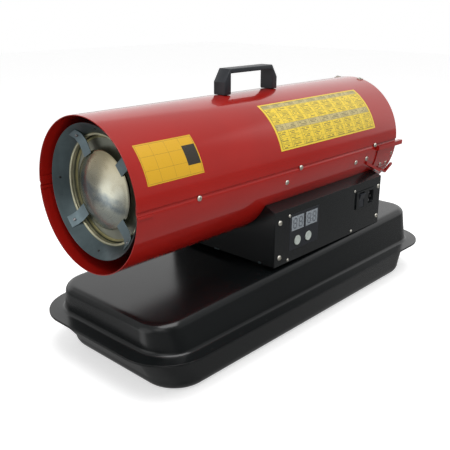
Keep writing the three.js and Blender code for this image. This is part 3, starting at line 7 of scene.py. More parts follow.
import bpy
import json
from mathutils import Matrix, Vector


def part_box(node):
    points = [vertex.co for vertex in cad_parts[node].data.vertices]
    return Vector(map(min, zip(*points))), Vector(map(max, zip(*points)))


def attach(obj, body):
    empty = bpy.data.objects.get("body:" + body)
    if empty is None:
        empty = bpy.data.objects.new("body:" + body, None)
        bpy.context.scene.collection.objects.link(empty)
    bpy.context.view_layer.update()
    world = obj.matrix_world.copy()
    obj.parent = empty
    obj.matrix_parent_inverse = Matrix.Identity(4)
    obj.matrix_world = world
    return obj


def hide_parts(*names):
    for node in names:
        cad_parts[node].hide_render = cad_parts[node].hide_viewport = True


bl_info = {
    "name": "Diesel Air Heater",
    "version": (1, 0, 0),
    "blender": (4, 5, 0),
    "location": "View3D > Sidebar > Heater",
    "description": "Shapes, finishes and a studio for a diesel air heater",
    "category": "Object",
}

import json
import math

import bmesh
import bpy
from bpy.props import FloatProperty, FloatVectorProperty, IntProperty, PointerProperty
from mathutils import Matrix, Vector

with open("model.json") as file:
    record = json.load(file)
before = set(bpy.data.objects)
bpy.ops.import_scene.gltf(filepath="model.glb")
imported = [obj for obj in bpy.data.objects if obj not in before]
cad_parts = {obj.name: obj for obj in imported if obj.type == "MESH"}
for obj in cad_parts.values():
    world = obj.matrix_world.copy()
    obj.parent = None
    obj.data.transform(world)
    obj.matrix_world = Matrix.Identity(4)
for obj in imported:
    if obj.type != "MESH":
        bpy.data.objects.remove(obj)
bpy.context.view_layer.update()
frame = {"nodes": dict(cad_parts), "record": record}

MM = 0.001
HEATER = "heater"
BODY_OF = {
    node: body
    for body, members in frame["record"]["behaviour"]["bodies"].items()
    for node in members
}
AXES = {"X": Vector((1, 0, 0)), "Y": Vector((0, 1, 0)), "Z": Vector((0, 0, 1))}

tank_low, tank_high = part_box("tank_upper_shell")
pan_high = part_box("tank_lower_shell")[1]
shell_low, shell_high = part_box("barrel_upper_shell")
panel_low, panel_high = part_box("control_panel")
dome_low, dome_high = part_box("spreader_dome")

HALF_WIDTH = (tank_high.x - tank_low.x) / 2
HALF_LENGTH = (tank_high.y - tank_low.y) / 2
BARREL_RADIUS = shell_high.x
BARREL_Z = shell_high.z - BARREL_RADIUS
BURNER_Z = (dome_low.z + dome_high.z) / 2

# Vertices this close are one point in a new mesh, and in a CAD node's. Faces that differ by less
# than FLAT degrees are one face.
MERGE, CAD_MERGE, FLAT = 2e-6, 4e-6, 0.4

# The outlet's ring and tube, in millimetres: radii, and places on the axis
RING_FRONT, RING_RADIUS = -341.5, 94.0
THROAT_Y, THROAT_RADIUS = -323.0, 76.7
TUBE_FRONT, TUBE_RADIUS, TUBE_HOLE = -316.5, 72.5, 46.0
DRUM_FRONT, DRUM_REAR, DRUM_RADIUS = -338.0, 20.0, 92.7


def srgb(*values):
    """An 8-bit screen colour as the linear values that the shaders take."""
    def linear(part):
        return part / 12.92 if part <= 0.04045 else ((part + 0.055) / 1.055) ** 2.4
    return tuple(linear(value / 255) for value in values)


# Sizes and colours that a user would change

def length(name, description, default):
    return FloatProperty(
        name=name, description=description, default=default, min=0, unit="LENGTH", precision=4
    )


def colour(name, description, *values):
    """A colour setting, whose default is given in 8 bits a channel."""
    return FloatVectorProperty(
        name=name, description=description, default=srgb(*values), size=3, min=0, max=1,
        subtype="COLOR",
    )


def count(name, description, default, low, high):
    return IntProperty(name=name, description=description, default=default, min=low, max=high)


def degrees(name, description, default):
    return FloatProperty(
        name=name, description=description, default=math.radians(default), subtype="ANGLE"
    )


def watts(name, description, default):
    return FloatProperty(name=name, description=description, default=default, min=0, unit="POWER")


class TankSettings(bpy.types.PropertyGroup):
    sheet: length("Sheet", "Thickness of the pressed steel", 1.5 * MM)
    flange_corner: length("Flange Corner", "Corner radius of the flange in plan", 75 * MM)
    shoulder: length("Shoulder", "Radius of the bend round the top", 12 * MM)
    pan_bend: length("Pan Bend", "Radius of the bend round the floor", 19 * MM)
    press: length("Press Radius", "Radius of the bend into the flange", 6 * MM)
    corner_steps: count("Corner Steps", "Faces round one corner", 18, 4, 48)
    paint: colour("Paint", "Black powder coat", 17, 20, 21)


class BarrelSettings(bpy.types.PropertyGroup):
    sheet: length("Sheet", "Thickness of the rolled steel", 1.2 * MM)
    steps: count("Steps", "Faces round half the barrel", 96, 24, 180)
    paint: colour("Paint", "Glossy red powder coat", 163, 25, 18)
    label: colour("Label", "Ground colour of the small label", 208, 160, 26)
    pale_label: colour("Pale Label", "Ground colour of the large label", 228, 198, 56)


class OutletSettings(bpy.types.PropertyGroup):
    dome_tint: colour("Dome", "Stainless steel of the flame spreader", 206, 207, 192)
    heat_tint: colour("Heat Tint", "Straw colour that heat leaves", 192, 178, 142)
    galvanised: colour("Galvanised", "Dull zinc coat of the chamber", 98, 112, 115)
    strap: colour("Straps", "Blue grey steel of the straps", 132, 150, 156)
    # Colour of the painted highlight along the rolled lips
    lip: colour("Lips", "Bright rolled lips of the ring and the tube", 214, 210, 178)
    steps: count("Steps", "Faces round a turn", 144, 32, 256)


class PanelSettings(bpy.types.PropertyGroup):
    decal: colour("Decal", "Blue-black film round the displays", 28, 31, 37)
    display: colour("Display", "Grey window of a display", 134, 141, 147)
    segment: colour("Segment", "Unlit segments", 84, 90, 98)
    button: colour("Button", "Pale push buttons", 176, 184, 178)
    screw: colour("Screws", "Zinc plated screws", 222, 219, 208)


class StudioSettings(bpy.types.PropertyGroup):
    focal_length: FloatProperty(
        name="Focal Length", description="Lens of the camera", default=51.348, unit="CAMERA"
    )
    azimuth: degrees("Azimuth", "Camera's turn about the heater", 42.884)
    elevation: degrees("Elevation", "Camera's rise over the floor", 19.023)
    roll: degrees("Roll", "Camera's turn about its own axis", 0.037)
    place: FloatVectorProperty(
        name="Camera", description="Where the camera stands",
        default=(0.68866, -0.82399, 0.51240), size=3, subtype="TRANSLATION", unit="LENGTH"
    )
    key_power: watts("Key", "Power of the large soft lamp", 27.0)
    fill_power: watts("Fill", "Power of the lamp by the camera", 3.0)
    sky: FloatProperty(
        name="Room", description="Level of the room's light", default=0.5, min=0, max=1,
        subtype="FACTOR"
    )


# Node trees

def put(tree, kind, **settings):
    node = tree.nodes.new(kind)
    for name, value in settings.items():
        setattr(node, name, value)
    return node


def feed(tree, node, **values):
    """Sets a node's inputs, by name or by number as i0 or i1, to sockets or plain values."""
    for name, value in values.items():
        numbered = name[0] == "i" and name[1:].isdigit()
        socket = node.inputs[int(name[1:]) if numbered else name.replace("_", " ")]
        if isinstance(value, bpy.types.NodeSocket):
            tree.links.new(value, socket)
        else:
            socket.default_value = (*value, 1) if socket.type == "RGBA" else value
    return node


def math_node(tree, operation, first, second=0.0):
    node = put(tree, "ShaderNodeMath", operation=operation)
    return feed(tree, node, i0=first, i1=second).outputs[0]


def times(tree, first, second):
    return math_node(tree, "MULTIPLY", first, second)


def vector_node(tree, operation, output, **inputs):
    node = put(tree, "ShaderNodeVectorMath", operation=operation)
    return feed(tree, node, **inputs).outputs[output]


def noise(tree, vector, scale, detail=2.0, roughness=0.5):
    node = put(tree, "ShaderNodeTexNoise")
    feed(tree, node, Vector=vector, Scale=scale, Detail=detail, Roughness=roughness)
    return node.outputs["Fac"]


def remap(tree, value, from_min, from_max, to_min=0.0, to_max=1.0, curve="LINEAR"):
    node = put(tree, "ShaderNodeMapRange", interpolation_type=curve)
    feed(tree, node, Value=value, From_Min=from_min, From_Max=from_max)
    return feed(tree, node, To_Min=to_min, To_Max=to_max).outputs[0]


def mixed(tree, factor, first, second):
    node = put(tree, "ShaderNodeMix", data_type="RGBA")
    return feed(tree, node, i0=factor, i6=first, i7=second).outputs[2]


def bump(tree, height, distance):
    return feed(tree, put(tree, "ShaderNodeBump"), Height=height, Distance=distance).outputs[0]


def parts_of(tree, vector):
    return feed(tree, put(tree, "ShaderNodeSeparateXYZ"), Vector=vector).outputs


def object_point(tree, centre=None):
    """Object coordinates, from a centre if one is given."""
    point = put(tree, "ShaderNodeTexCoord").outputs["Object"]
    if centre is None:
        return point
    mapping = put(tree, "ShaderNodeMapping", vector_type="POINT")
    return feed(tree, mapping, Vector=point, Location=tuple(-c for c in centre)).outputs[0]


def about_burner(tree, y):
    """Object coordinates from a point on the burner's axis, their parts, and the radius."""
    point = object_point(tree, (0, y, BURNER_Z))
    parts = parts_of(tree, point)
    flat = feed(tree, put(tree, "ShaderNodeCombineXYZ"), X=parts[0], Z=parts[2])
    return point, parts, vector_node(tree, "LENGTH", "Value", i0=flat.outputs[0])


# Shared effects. Each gives a colour, a height and a pattern about zero that varies the roughness.

def powder_coat(tree, given):
    """Powder coat: a faint mottle, orange peel and a roughness that handling has varied."""
    point = object_point(tree)
    mottle = remap(tree, noise(tree, point, given["Mottle Scale"], 3.0), 0.3, 0.7)
    tone = mixed(tree, mottle, given["Paint"], given["Shade"])
    speckle = remap(tree, noise(tree, point, 1900.0, 1.0), 0.35, 0.65, 0.0, 0.12)
    handled = noise(tree, point, 23.0, 4.0, 0.6)
    return (
        mixed(tree, speckle, tone, given["Shade"]), noise(tree, point, given["Peel Scale"], 1.5),
        math_node(tree, "SUBTRACT", handled, 0.5),
    )


def rolled_sheet(tree, given):
    """Bare or zinc coated sheet: rolling streaks, spangle and dull patches."""
    point = object_point(tree)
    stretched = vector_node(tree, "MULTIPLY", 0, i0=point, i1=given["Streak"])
    streaks = noise(tree, stretched, 1.0, 4.0, 0.6)
    spangle = put(tree, "ShaderNodeTexVoronoi", feature="F1")
    feed(tree, spangle, Vector=point, Scale=given["Spangle Scale"])
    flakes = put(tree, "ShaderNodeSeparateColor")
    flake = feed(tree, flakes, Color=spangle.outputs["Color"]).outputs[0]
    patches = remap(tree, noise(tree, point, 14.0, 4.0, 0.6), 0.35, 0.7)
    stained = mixed(tree, times(tree, patches, 0.55), given["Metal"], given["Stain"])
    streaked = mixed(tree, remap(tree, streaks, 0.4, 0.7, 0.0, 0.4), stained, given["Stain"])
    varied = math_node(tree, "ADD", times(tree, flake, 0.25), streaks)
    return (
        mixed(tree, times(tree, flake, 0.12), streaked, given["Metal"]), streaks,
        math_node(tree, "SUBTRACT", varied, 0.6),
    )


def moulded_grain(tree, given):
    """Moulded plastic, rubber or felt: fine grain and a little dust."""
    point = object_point(tree)
    grain = noise(tree, point, given["Grain Scale"], 2.0)
    clouds = remap(tree, noise(tree, point, 35.0, 4.0, 0.6), 0.4, 0.75)
    dust = times(tree, clouds, given["Dust Amount"])
    return (
        mixed(tree, dust, given["Plastic"], given["Dust"]), grain,
        math_node(tree, "SUBTRACT", grain, 0.5),
    )


GROUPS = {
    "powder_coat": (powder_coat, {
        "Paint": (0.1, 0.1, 0.1), "Shade": (0.05, 0.05, 0.05), "Mottle Scale": 9.0,
        "Peel Scale": 620.0, "Base Roughness": 0.3, "Roughness Spread": 0.06,
    }),
    "rolled_sheet": (rolled_sheet, {
        "Metal": (0.3, 0.3, 0.3), "Stain": (0.15, 0.15, 0.15), "Streak": Vector((60, 60, 4)),
        "Spangle Scale": 160.0, "Base Roughness": 0.38, "Roughness Spread": 0.2,
    }),
    "moulded_grain": (moulded_grain, {
        "Plastic": (0.05, 0.05, 0.05), "Dust": (0.12, 0.12, 0.12), "Grain Scale": 900.0,
        "Dust Amount": 0.15, "Base Roughness": 0.45, "Roughness Spread": 0.12,
    }),
}
SOCKETS = {tuple: "NodeSocketColor", Vector: "NodeSocketVector", float: "NodeSocketFloat"}


def build_group(name):
    """A new shader group with its named inputs, and a colour, roughness and height as outputs."""
    make, inputs = GROUPS[name]
    tree = bpy.data.node_groups.new(name, "ShaderNodeTree")
    for label, default in inputs.items():
        kind = SOCKETS[type(default)]
        socket = tree.interface.new_socket(label, in_out="INPUT", socket_type=kind)
        socket.default_value = (*default, 1) if isinstance(default, tuple) else default
    for label, kind in (("Color", tuple), ("Roughness", float), ("Height", float)):
        tree.interface.new_socket(label, in_out="OUTPUT", socket_type=SOCKETS[kind])
    given = put(tree, "NodeGroupInput").outputs
    tone, height, pattern = make(tree, given)
    spread = times(tree, pattern, given["Roughness Spread"])
    rough = math_node(tree, "ADD", spread, given["Base Roughness"])
    feed(tree, put(tree, "NodeGroupOutput"), Color=tone, Roughness=rough, Height=height)
    return tree


def grouped(tree, name, *values):
    """The outputs of a placed copy of a shared group, which is built on its first use."""
    shared = bpy.data.node_groups.get(name) or build_group(name)
    node = put(tree, "ShaderNodeGroup", node_tree=shared)
    return feed(tree, node, **{f"i{index}": value for index, value in enumerate(values)}).outputs


# Finishes

def tint(source):
    """A colour as given, or that of a setting such as heater_tank.paint."""
    if isinstance(source, tuple):
        return source
    group, field = source.split(".")
    return tuple(getattr(getattr(bpy.context.scene, group), field))


def scaled(rgb, factor):
    return tuple(channel * factor for channel in rgb)


def coated(tree, principled, group, relief, main, second, *pattern):
    """Colour, roughness and bump from one shared group. The relief is in millimetres, and the
    second colour may be a share of the main one."""
    main = tint(main)
    second = second if isinstance(second, tuple) else scaled(main, second)
    skin = grouped(tree, group, main, second, *pattern)
    feed(tree, principled, Base_Color=skin["Color"], Roughness=skin["Roughness"])
    if relief:
        feed(tree, principled, Normal=bump(tree, skin["Height"], relief * MM))


def lipped_sheet(tree, principled, bright_radius, dull_radius, lip_y, metal):
    """Galvanised sheet with a painted highlight, pale straw, along its rolled lip."""
    metal = tint(metal)
    skin = grouped(
        tree, "rolled_sheet", metal, scaled(metal, 0.45), (60.0, 60.0, 6.0), 150.0, 0.34, 0.25
    )
    _, parts, radius = about_burner(tree, lip_y)
    # Painted highlight: the pale lip colour is laid on the rolled lip, near its radius and place on
    # the axis, in patches
    near_lip = remap(tree, radius, dull_radius, bright_radius)
    beside = remap(tree, math_node(tree, "ABSOLUTE", parts[1]), 6 * MM, 3 * MM)
    patches = remap(tree, noise(tree, object_point(tree), 40.0, 3.0), 0.3, 0.6, 0.5, 1.0)
    mask = times(tree, times(tree, near_lip, beside), patches)
    feed(
        tree, principled, Base_Color=mixed(tree, mask, skin["Color"], tint("heater_outlet.lip")),
        Roughness=skin["Roughness"], Normal=bump(tree, skin["Height"], 0.04 * MM),
    )


def spreader_steel(tree, principled):
    """Brushed stainless with spun rings, tinted straw above by the flame. A dark blue grey band
    across it and grey green below are a painted reflection of the room's horizon and the table.
    """
    point, parts, radius = about_burner(tree, dome_low.y)
    ring_point = feed(tree, put(tree, "ShaderNodeCombineXYZ"), X=radius).outputs[0]
    rings = noise(tree, ring_point, 900.0, 3.0, 0.7)
    clouds = noise(tree, point, 26.0, 4.0, 0.6)
    wobble = times(tree, math_node(tree, "SUBTRACT", clouds, 0.5), 0.05)
    height = math_node(tree, "ADD", parts[2], wobble)
    # The painted reflection of the horizon is a dark band along this slanted line
    slant = math_node(tree, "ADD", height, times(tree, parts[0], 0.3))
    off_mirrored_band = math_node(tree, "ABSOLUTE", math_node(tree, "ADD", slant, 4 * MM))
    tone = tint("heater_outlet.dome_tint")
    # Straw heat tint above; painted reflection of the table, grey green, below, and of the horizon
    # as the blue grey band; cloudy patches; browner towards the rim
    for mask, over in (
        (remap(tree, height, -4 * MM, 50 * MM, 0.0, 0.9), tint("heater_outlet.heat_tint")),
        (remap(tree, height, 0.0, -30 * MM, 0.0, 0.6), srgb(150, 160, 158)),
        (remap(tree, off_mirrored_band, 12 * MM, 1 * MM, 0.0, 0.75), srgb(112, 126, 136)),
        (remap(tree, clouds, 0.5, 0.8, 0.0, 0.4), srgb(120, 114, 98)),
        (remap(tree, radius, 46 * MM, 54.5 * MM, 0.0, 0.45), srgb(150, 142, 112)),
    ):
        tone = mixed(tree, mask, tone, over)
    rough = remap(tree, math_node(tree, "ADD", rings, clouds), 0.6, 1.4, 0.16, 0.34)
    feed(
        tree, principled, Base_Color=tone, Roughness=rough, Normal=bump(tree, rings, 0.03 * MM)
    )


def printed_label(tree, principled, ground, columns, rows, header, block, fill):
    """A yellow label with a ruled grid and plain strokes. It carries no words or signs.

    The header is a share of every fourth row and the block a share of the width."""
    ground = tint(ground)
    corner = put(tree, "ShaderNodeTexCoord").outputs["UV"]
    across, up, _ = parts_of(tree, corner)

    def over(value, limit):
        return math_node(tree, "GREATER_THAN", value, limit)

    def all_of(first, *others):
        for other in others:
            first = times(tree, first, other)
        return first

    def cell(value, number):
        return math_node(tree, "FRACT", times(tree, value, float(number)))

    def from_edge(value):
        return math_node(tree, "MINIMUM", value, math_node(tree, "SUBTRACT", 1.0, value))

    def ruled(value, number, width):
        return math_node(tree, "LESS_THAN", from_edge(cell(value, number)), width * number)

    def within(margin_across, margin_up):
        return all_of(over(from_edge(across), margin_across), over(from_edge(up), margin_up))

    outer, inner = within(0.016, 0.028), within(0.021, 0.036)
    grid = math_node(tree, "MAXIMUM", ruled(across, columns, 0.0016), ruled(up, rows, 0.0028))
    frame_line = math_node(tree, "SUBTRACT", outer, inner)
    lines = math_node(tree, "MAXIMUM", frame_line, all_of(grid, inner))
    head = all_of(over(cell(up, rows / 4), 1 - header), inner)
    filled = all_of(over(across, 1 - block), inner, over(from_edge(up), 0.25))
    stroke_rows = rows * 4.0
    stroke_row = math_node(tree, "FLOOR", times(tree, up, stroke_rows))
    row_point = put(tree, "ShaderNodeCombineXYZ")
    feed(
        tree, row_point, X=times(tree, across, columns * 3.5), Y=times(tree, stroke_row, 3.7)
    )
    strokes = over(noise(tree, row_point.outputs[0], 1.0, 1.0), 0.44)
    thin = over(from_edge(cell(up, stroke_rows)), 0.24)
    beside = math_node(
        tree, "ABSOLUTE", math_node(tree, "SUBTRACT", cell(across, columns), 0.42)
    )
    in_cell = all_of(
        math_node(tree, "LESS_THAN", beside, 0.34), over(from_edge(cell(up, rows)), 0.12)
    )
    hatch = all_of(strokes, thin, in_cell, inner, fill)
    weave = noise(tree, corner, 60.0, 3.0)
    tone = ground
    for mask, ink in (
        (remap(tree, weave, 0.35, 0.7, 0.0, 0.25), scaled(ground, 0.8)),
        (times(tree, head, 0.6), srgb(150, 150, 140)),
        (times(tree, lines, 0.7), srgb(70, 62, 38)),
        (times(tree, hatch, 0.8), srgb(84, 78, 46)),
        (times(tree, filled, 0.985), srgb(34, 33, 30)),
    ):
        tone = mixed(tree, mask, tone, ink)
    feed(
        tree, principled, Base_Color=tone, Roughness=remap(tree, weave, 0.3, 0.7, 0.26, 0.4),
        Normal=bump(tree, weave, 0.01 * MM),
    )


def finish(slot, make, *given, **sockets):
    """The frame's slot, the maker, what it is given, and values for the shader's own sockets."""
    return slot, make, given, sockets


FINISHES = {
    "red_paint": finish(
        "red_paint", coated, "powder_coat", 0.012, "heater_barrel.paint", 0.82, 6.0, 420.0, 0.32,
        0.08, Coat_Weight=1.0, Coat_Roughness=0.07, Specular_IOR_Level=0.1,
    ),
    "black_paint": finish(
        "black_paint", coated, "powder_coat", 0.01, "heater_tank.paint", 0.7, 11.0, 500.0, 0.22,
        0.08,
    ),
    "galvanised": finish(
        "galvanised", coated, "rolled_sheet", 0.04, "heater_outlet.galvanised", 0.5,
        (70.0, 70.0, 5.0), 150.0, 0.36, 0.25, Metallic=1.0,
    ),
    # The ring and the tube carry a painted highlight along their rolled lips
    "ring_sheet": finish(
        "galvanised", lipped_sheet, 77.6 * MM, 78.6 * MM, THROAT_Y * MM,
        "heater_outlet.galvanised", Metallic=0.9,
    ),
    "tube_sheet": finish(
        "galvanised", lipped_sheet, 70.8 * MM, 70.2 * MM, TUBE_FRONT * MM, srgb(158, 160, 146),
        Metallic=0.9,
    ),
    "strap_steel": finish(
        "galvanised", coated, "rolled_sheet", 0.04, "heater_outlet.strap", 0.6,
        (90.0, 12.0, 90.0), 260.0, 0.4, 0.2, Metallic=0.8,
    ),
    "spreader_steel": finish("stainless", spreader_steel, Metallic=1.0),
    "zinc_plate": finish(
        "bright_steel", coated, "rolled_sheet", 0.02, "heater_panel.screw", 0.6,
        (300.0, 300.0, 300.0), 900.0, 0.3, 0.15, Metallic=0.7,
    ),
    "machined_steel": finish(
        "bright_steel", coated, "rolled_sheet", 0.02, srgb(178, 178, 180), srgb(120, 118, 116),
        (40.0, 900.0, 40.0), 500.0, 0.28, 0.2, Metallic=1.0,
    ),
    "cast_aluminium": finish(
        "cast_aluminium", coated, "moulded_grain", 0.12, srgb(176, 178, 180),
        srgb(120, 120, 118), 650.0, 0.5, 0.45, 0.2, Metallic=1.0,
    ),
    "brass": finish(
        "brass", coated, "rolled_sheet", 0.02, srgb(196, 160, 84), srgb(134, 104, 52),
        (500.0, 500.0, 500.0), 700.0, 0.3, 0.15, Metallic=1.0,
    ),
    "black_plastic": finish(
        "black_plastic", coated, "moulded_grain", 0.06, srgb(32, 35, 40), srgb(62, 66, 72),
        1100.0, 0.25, 0.42, 0.15,
    ),
    "module_plastic": finish(
        "black_plastic", coated, "moulded_grain", 0.04, srgb(17, 20, 21), srgb(36, 40, 42),
        1100.0, 0.2, 0.4, 0.12,
    ),
    "black_rubber": finish(
        "rubber", coated, "moulded_grain", 0.08, srgb(26, 26, 27), srgb(58, 57, 55), 700.0, 0.3,
        0.72, 0.15,
    ),
    "pressed_felt": finish(
        "felt", coated, "moulded_grain", 0.6, srgb(204, 198, 182), srgb(150, 142, 126), 420.0,
        0.8, 0.95, 0.05, Sheen_Weight=0.4,
    ),
    "glazed_ceramic": finish(
        "ceramic", coated, "moulded_grain", 0.02, srgb(232, 226, 212), srgb(200, 186, 160),
        300.0, 0.4, 0.25, 0.1, Coat_Weight=0.6,
    ),
    "circuit_board": finish(
        "circuit_board", coated, "moulded_grain", 0.05, srgb(30, 92, 52), srgb(20, 60, 36),
        260.0, 0.9, 0.4, 0.1, Coat_Weight=0.3,
    ),
    "pale_plastic": finish(
        "pale_plastic", coated, "moulded_grain", 0.03, "heater_panel.button", 0.75, 900.0, 0.3,
        0.38, 0.1,
    ),
    "display_window": finish(
        "display_face", coated, "moulded_grain", 0.01, "heater_panel.display", 0.8, 500.0, 0.3,
        0.25, 0.08, Coat_Weight=0.5,
    ),
    "unlit_segment": finish(
        "display_face", coated, "moulded_grain", 0.01, "heater_panel.segment", 0.8, 800.0, 0.2,
        0.4, 0.08,
    ),
    "panel_film": finish(
        "black_paint", coated, "moulded_grain", 0.02, "heater_panel.decal", 1.3, 1300.0, 0.3,
        0.4, 0.1,
    ),
    "clear_lens": finish(
        "clear_lens", coated, "moulded_grain", 0, (0.92, 0.95, 0.96), (0.75, 0.78, 0.8), 300.0,
        0.1, 0.06, 0.04, Transmission_Weight=1.0, IOR=1.49,
    ),
    "label_small": finish(
        "red_paint", printed_label, "heater_barrel.label", 4, 3, 0.0, 0.25, 0.0, Coat_Weight=0.1
    ),
    "label_large": finish(
        "red_paint", printed_label, "heater_barrel.pale_label", 9, 8, 0.25, 0.0, 1.0,
        Coat_Weight=0.1,
    ),
}


def look(name, make, given=(), sockets=None):
    """A material, made on its first use. Its name differs from that of the frame's slot."""
    material = bpy.data.materials.get("look_" + name)
    if material is None:
        material = bpy.data.materials.new("look_" + name)
        material.use_nodes = True
        tree = material.node_tree
        principled = tree.nodes["Principled BSDF"]
        make(tree, principled, *given)
        feed(tree, principled, **(sockets or {}))
    return material


# Mesh building

def add_object(name, data):
    obj = bpy.data.objects.new(name, data)
    bpy.context.scene.collection.objects.link(obj)
    return obj


def to_mesh(name, bm):
    mesh = bpy.data.meshes.new(name)
    bm.to_mesh(mesh)
    bm.free()
    return mesh


def edge_bevel(obj, width, segments=2, angle=35):
    modifier = obj.modifiers.new("edge_round", "BEVEL")
    modifier.width = width
    modifier.segments = segments
    modifier.limit_method = "ANGLE"
    modifier.angle_limit = math.radians(angle)
    modifier.harden_normals = True
    modifier.use_clamp_overlap = True


def finished(name, bm, kind, replaces=(), body=HEATER, slot=None, smooth=35, wall=0.0, bevel=0.0,
             segments=2, outward=True):
    """Turns a bmesh into a piece of the heater, in one of the finishes, that rides on its body."""
    bmesh.ops.remove_doubles(bm, verts=bm.verts, dist=MERGE)
    if outward:
        bmesh.ops.recalc_face_normals(bm, faces=bm.faces)
    if wall:
        bmesh.ops.solidify(bm, geom=bm.faces[:], thickness=wall)
    own_slot, *maker = FINISHES[kind]
    slot = slot or own_slot
    mesh = to_mesh(name, bm)
    mesh.materials.append(look(kind, *maker))
    mesh.shade_smooth()
    mesh.set_sharp_from_angle(angle=math.radians(smooth))
    obj = add_object(name, mesh)
    if bevel:
        edge_bevel(obj, bevel, segments)
    if replaces:
        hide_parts(*replaces)
    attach(obj, body)
    return obj


def smoothed(node, kind, bevel, smooth=35, slot=None):
    """A merged, smooth copy of a CAD node in its place. Its bevel is in millimetres."""
    bm = bmesh.new()
    bm.from_mesh(frame["nodes"][node].data)
    bmesh.ops.remove_doubles(bm, verts=bm.verts, dist=CAD_MERGE)
    bmesh.ops.dissolve_limit(
        bm, angle_limit=math.radians(FLAT), verts=bm.verts, edges=bm.edges,
        use_dissolve_boundaries=False,
    )
    finished(
        node + "_skin", bm, kind, (node,), BODY_OF[node], slot, smooth, bevel=bevel * MM,
        outward=False,
    )


def spin_profile(bm, profile, steps, along="Y", centre=(0.0, 0.0, 0.0), closed=True):
    """Turns a profile of (radius, place on the axis) about an axis through centre."""
    axis, radial = AXES[along], AXES["X" if along == "Z" else "Z"]
    base = Vector(centre) - axis * Vector(centre).dot(axis)
    verts = [bm.verts.new(base + radial * radius + axis * place) for radius, place in profile]
    pairs = list(zip(verts, verts[1:]))
    if closed:
        pairs.append((verts[-1], verts[0]))
    edges = [bm.edges.new(pair) for pair in pairs]
    bmesh.ops.spin(
        bm, geom=verts + edges, cent=base, axis=axis, dvec=(0, 0, 0), angle=math.tau, steps=steps,
        use_merge=True, use_duplicate=False,
    )


def in_mm(*pairs):
    return [(first * MM, second * MM) for first, second in pairs]


def arc_points(centre, radius, start, end, steps):
    """Points on an arc in degrees, as (first, second) pairs."""
    turns = [math.radians(start + (end - start) * i / steps) for i in range(steps + 1)]
    return [
        (centre[0] + radius * math.cos(turn), centre[1] + radius * math.sin(turn))
        for turn in turns
    ]


def box_in(bm, low, high):
    """A block between two corners. Returns its vertices."""
    low, high = Vector(low), Vector(high)
    made = bmesh.ops.create_cube(bm, size=1.0)["verts"]
    bmesh.ops.scale(bm, vec=high - low, verts=made)
    bmesh.ops.translate(bm, vec=(high + low) / 2, verts=made)
    return made


def facing(point, direction):
    """The transform that puts what stands on the origin along +Z at a point, along a direction."""
    turn = AXES["Z"].rotation_difference(Vector(direction)).to_matrix().to_4x4()
    return Matrix.Translation(Vector(point)) @ turn


def rod_in(bm, start, end, radius, sides):
    """A round rod between two points. Returns its vertices."""
    start, end = Vector(start), Vector(end)
    return bmesh.ops.create_cone(
        bm, cap_ends=True, cap_tris=False, segments=sides, radius1=radius, radius2=radius,
        depth=(end - start).length, matrix=facing((start + end) / 2, end - start),
    )["verts"]


def drawn_out(bm, made, offset):
    """Moves the vertices that an extrusion has made."""
    moved = [item for item in made["geom"] if isinstance(item, bmesh.types.BMVert)]
    bmesh.ops.translate(bm, vec=offset, verts=moved)


def cut(obj, bm):
    """Cuts the shape in a bmesh out of a piece, with the result applied."""
    cutter = add_object("cutter", to_mesh("cutter", bm))
    modifier = obj.modifiers.new("hole", "BOOLEAN")
    modifier.operation = "DIFFERENCE"
    modifier.solver = "EXACT"
    modifier.object = cutter
    bpy.context.view_layer.update()
    shaped = bpy.data.meshes.new_from_object(
        obj.evaluated_get(bpy.context.evaluated_depsgraph_get())
    )
    obj.modifiers.clear()
    obj.data = shaped
    bpy.data.objects.remove(cutter)


def cut_round(obj, place, radius, depth, axis=AXES["X"]):
    """Cuts a round hole through a piece."""
    bm = bmesh.new()
    span = Vector(axis).normalized() * depth
    rod_in(bm, Vector(place) - span, Vector(place) + span, radius, 40)
    bmesh.ops.recalc_face_normals(bm, faces=bm.faces)
    cut(obj, bm)


def aim(bm, outward):
    """Turns every face the same way as the one nearest to the point outward wants."""
    bmesh.ops.recalc_face_normals(bm, faces=bm.faces)
    face = min(bm.faces, key=lambda f: (f.calc_center_median() - outward).length)
    if face.normal.dot(outward) < 0:
        bmesh.ops.reverse_faces(bm, faces=bm.faces)


def middle(node):
    low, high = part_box(node)
    return (low + high) / 2


def screw_head(radius, height, recess):
    """A domed head on the origin, facing +Z, with a cross recess or plain, as a mesh."""
    lip = -0.4 * MM
    bm = bmesh.new()
    spin_profile(bm, [
        (0, height), (radius * 0.5, height * 0.95), (radius * 0.8, height * 0.75),
        (radius * 0.97, height * 0.35), (radius, 0), (radius * 0.9, lip), (0, lip),
    ], 20, "Z", closed=False)
    bmesh.ops.remove_doubles(bm, verts=bm.verts, dist=1e-6)
    bmesh.ops.recalc_face_normals(bm, faces=bm.faces)
    obj = add_object("screw_head", to_mesh("screw_head", bm))
    long, wide, floor = radius * 0.66, radius * 0.22, height * 0.1
    for x, y in ((wide, long), (long, wide)) if recess else ():
        bm = bmesh.new()
        box_in(bm, (-x, -y, floor), (x, y, height * 2))
        cut(obj, bm)
    mesh = obj.data
    bpy.data.objects.remove(obj)
    return mesh


def screws(name, places, radius, height, kind="zinc_plate", slot=None, recess=True):
    """One object with a head at each (point, direction). The head's size is in millimetres."""
    head = screw_head(radius * MM, height * MM, recess)
    bm = bmesh.new()
    for index, place in enumerate(places):
        before = set(bm.verts)
        bm.from_mesh(head)
        verts = [vert for vert in bm.verts if vert not in before]
        twist = Matrix.Rotation(math.radians(23 + 37 * index), 4, "Z")
        bmesh.ops.transform(bm, matrix=facing(*place) @ twist, verts=verts)
    finished(name, bm, kind, slot=slot, smooth=40, outward=False)


def both_sides(places):
    """The (point, direction) pairs, then the same ones across the middle."""
    return places + [(Vector((-p.x, p.y, p.z)), Vector((-d.x, d.y, d.z))) for p, d in places]


# Tank: the insets of its walls from the flange at the side, front and rear, then the corner radius

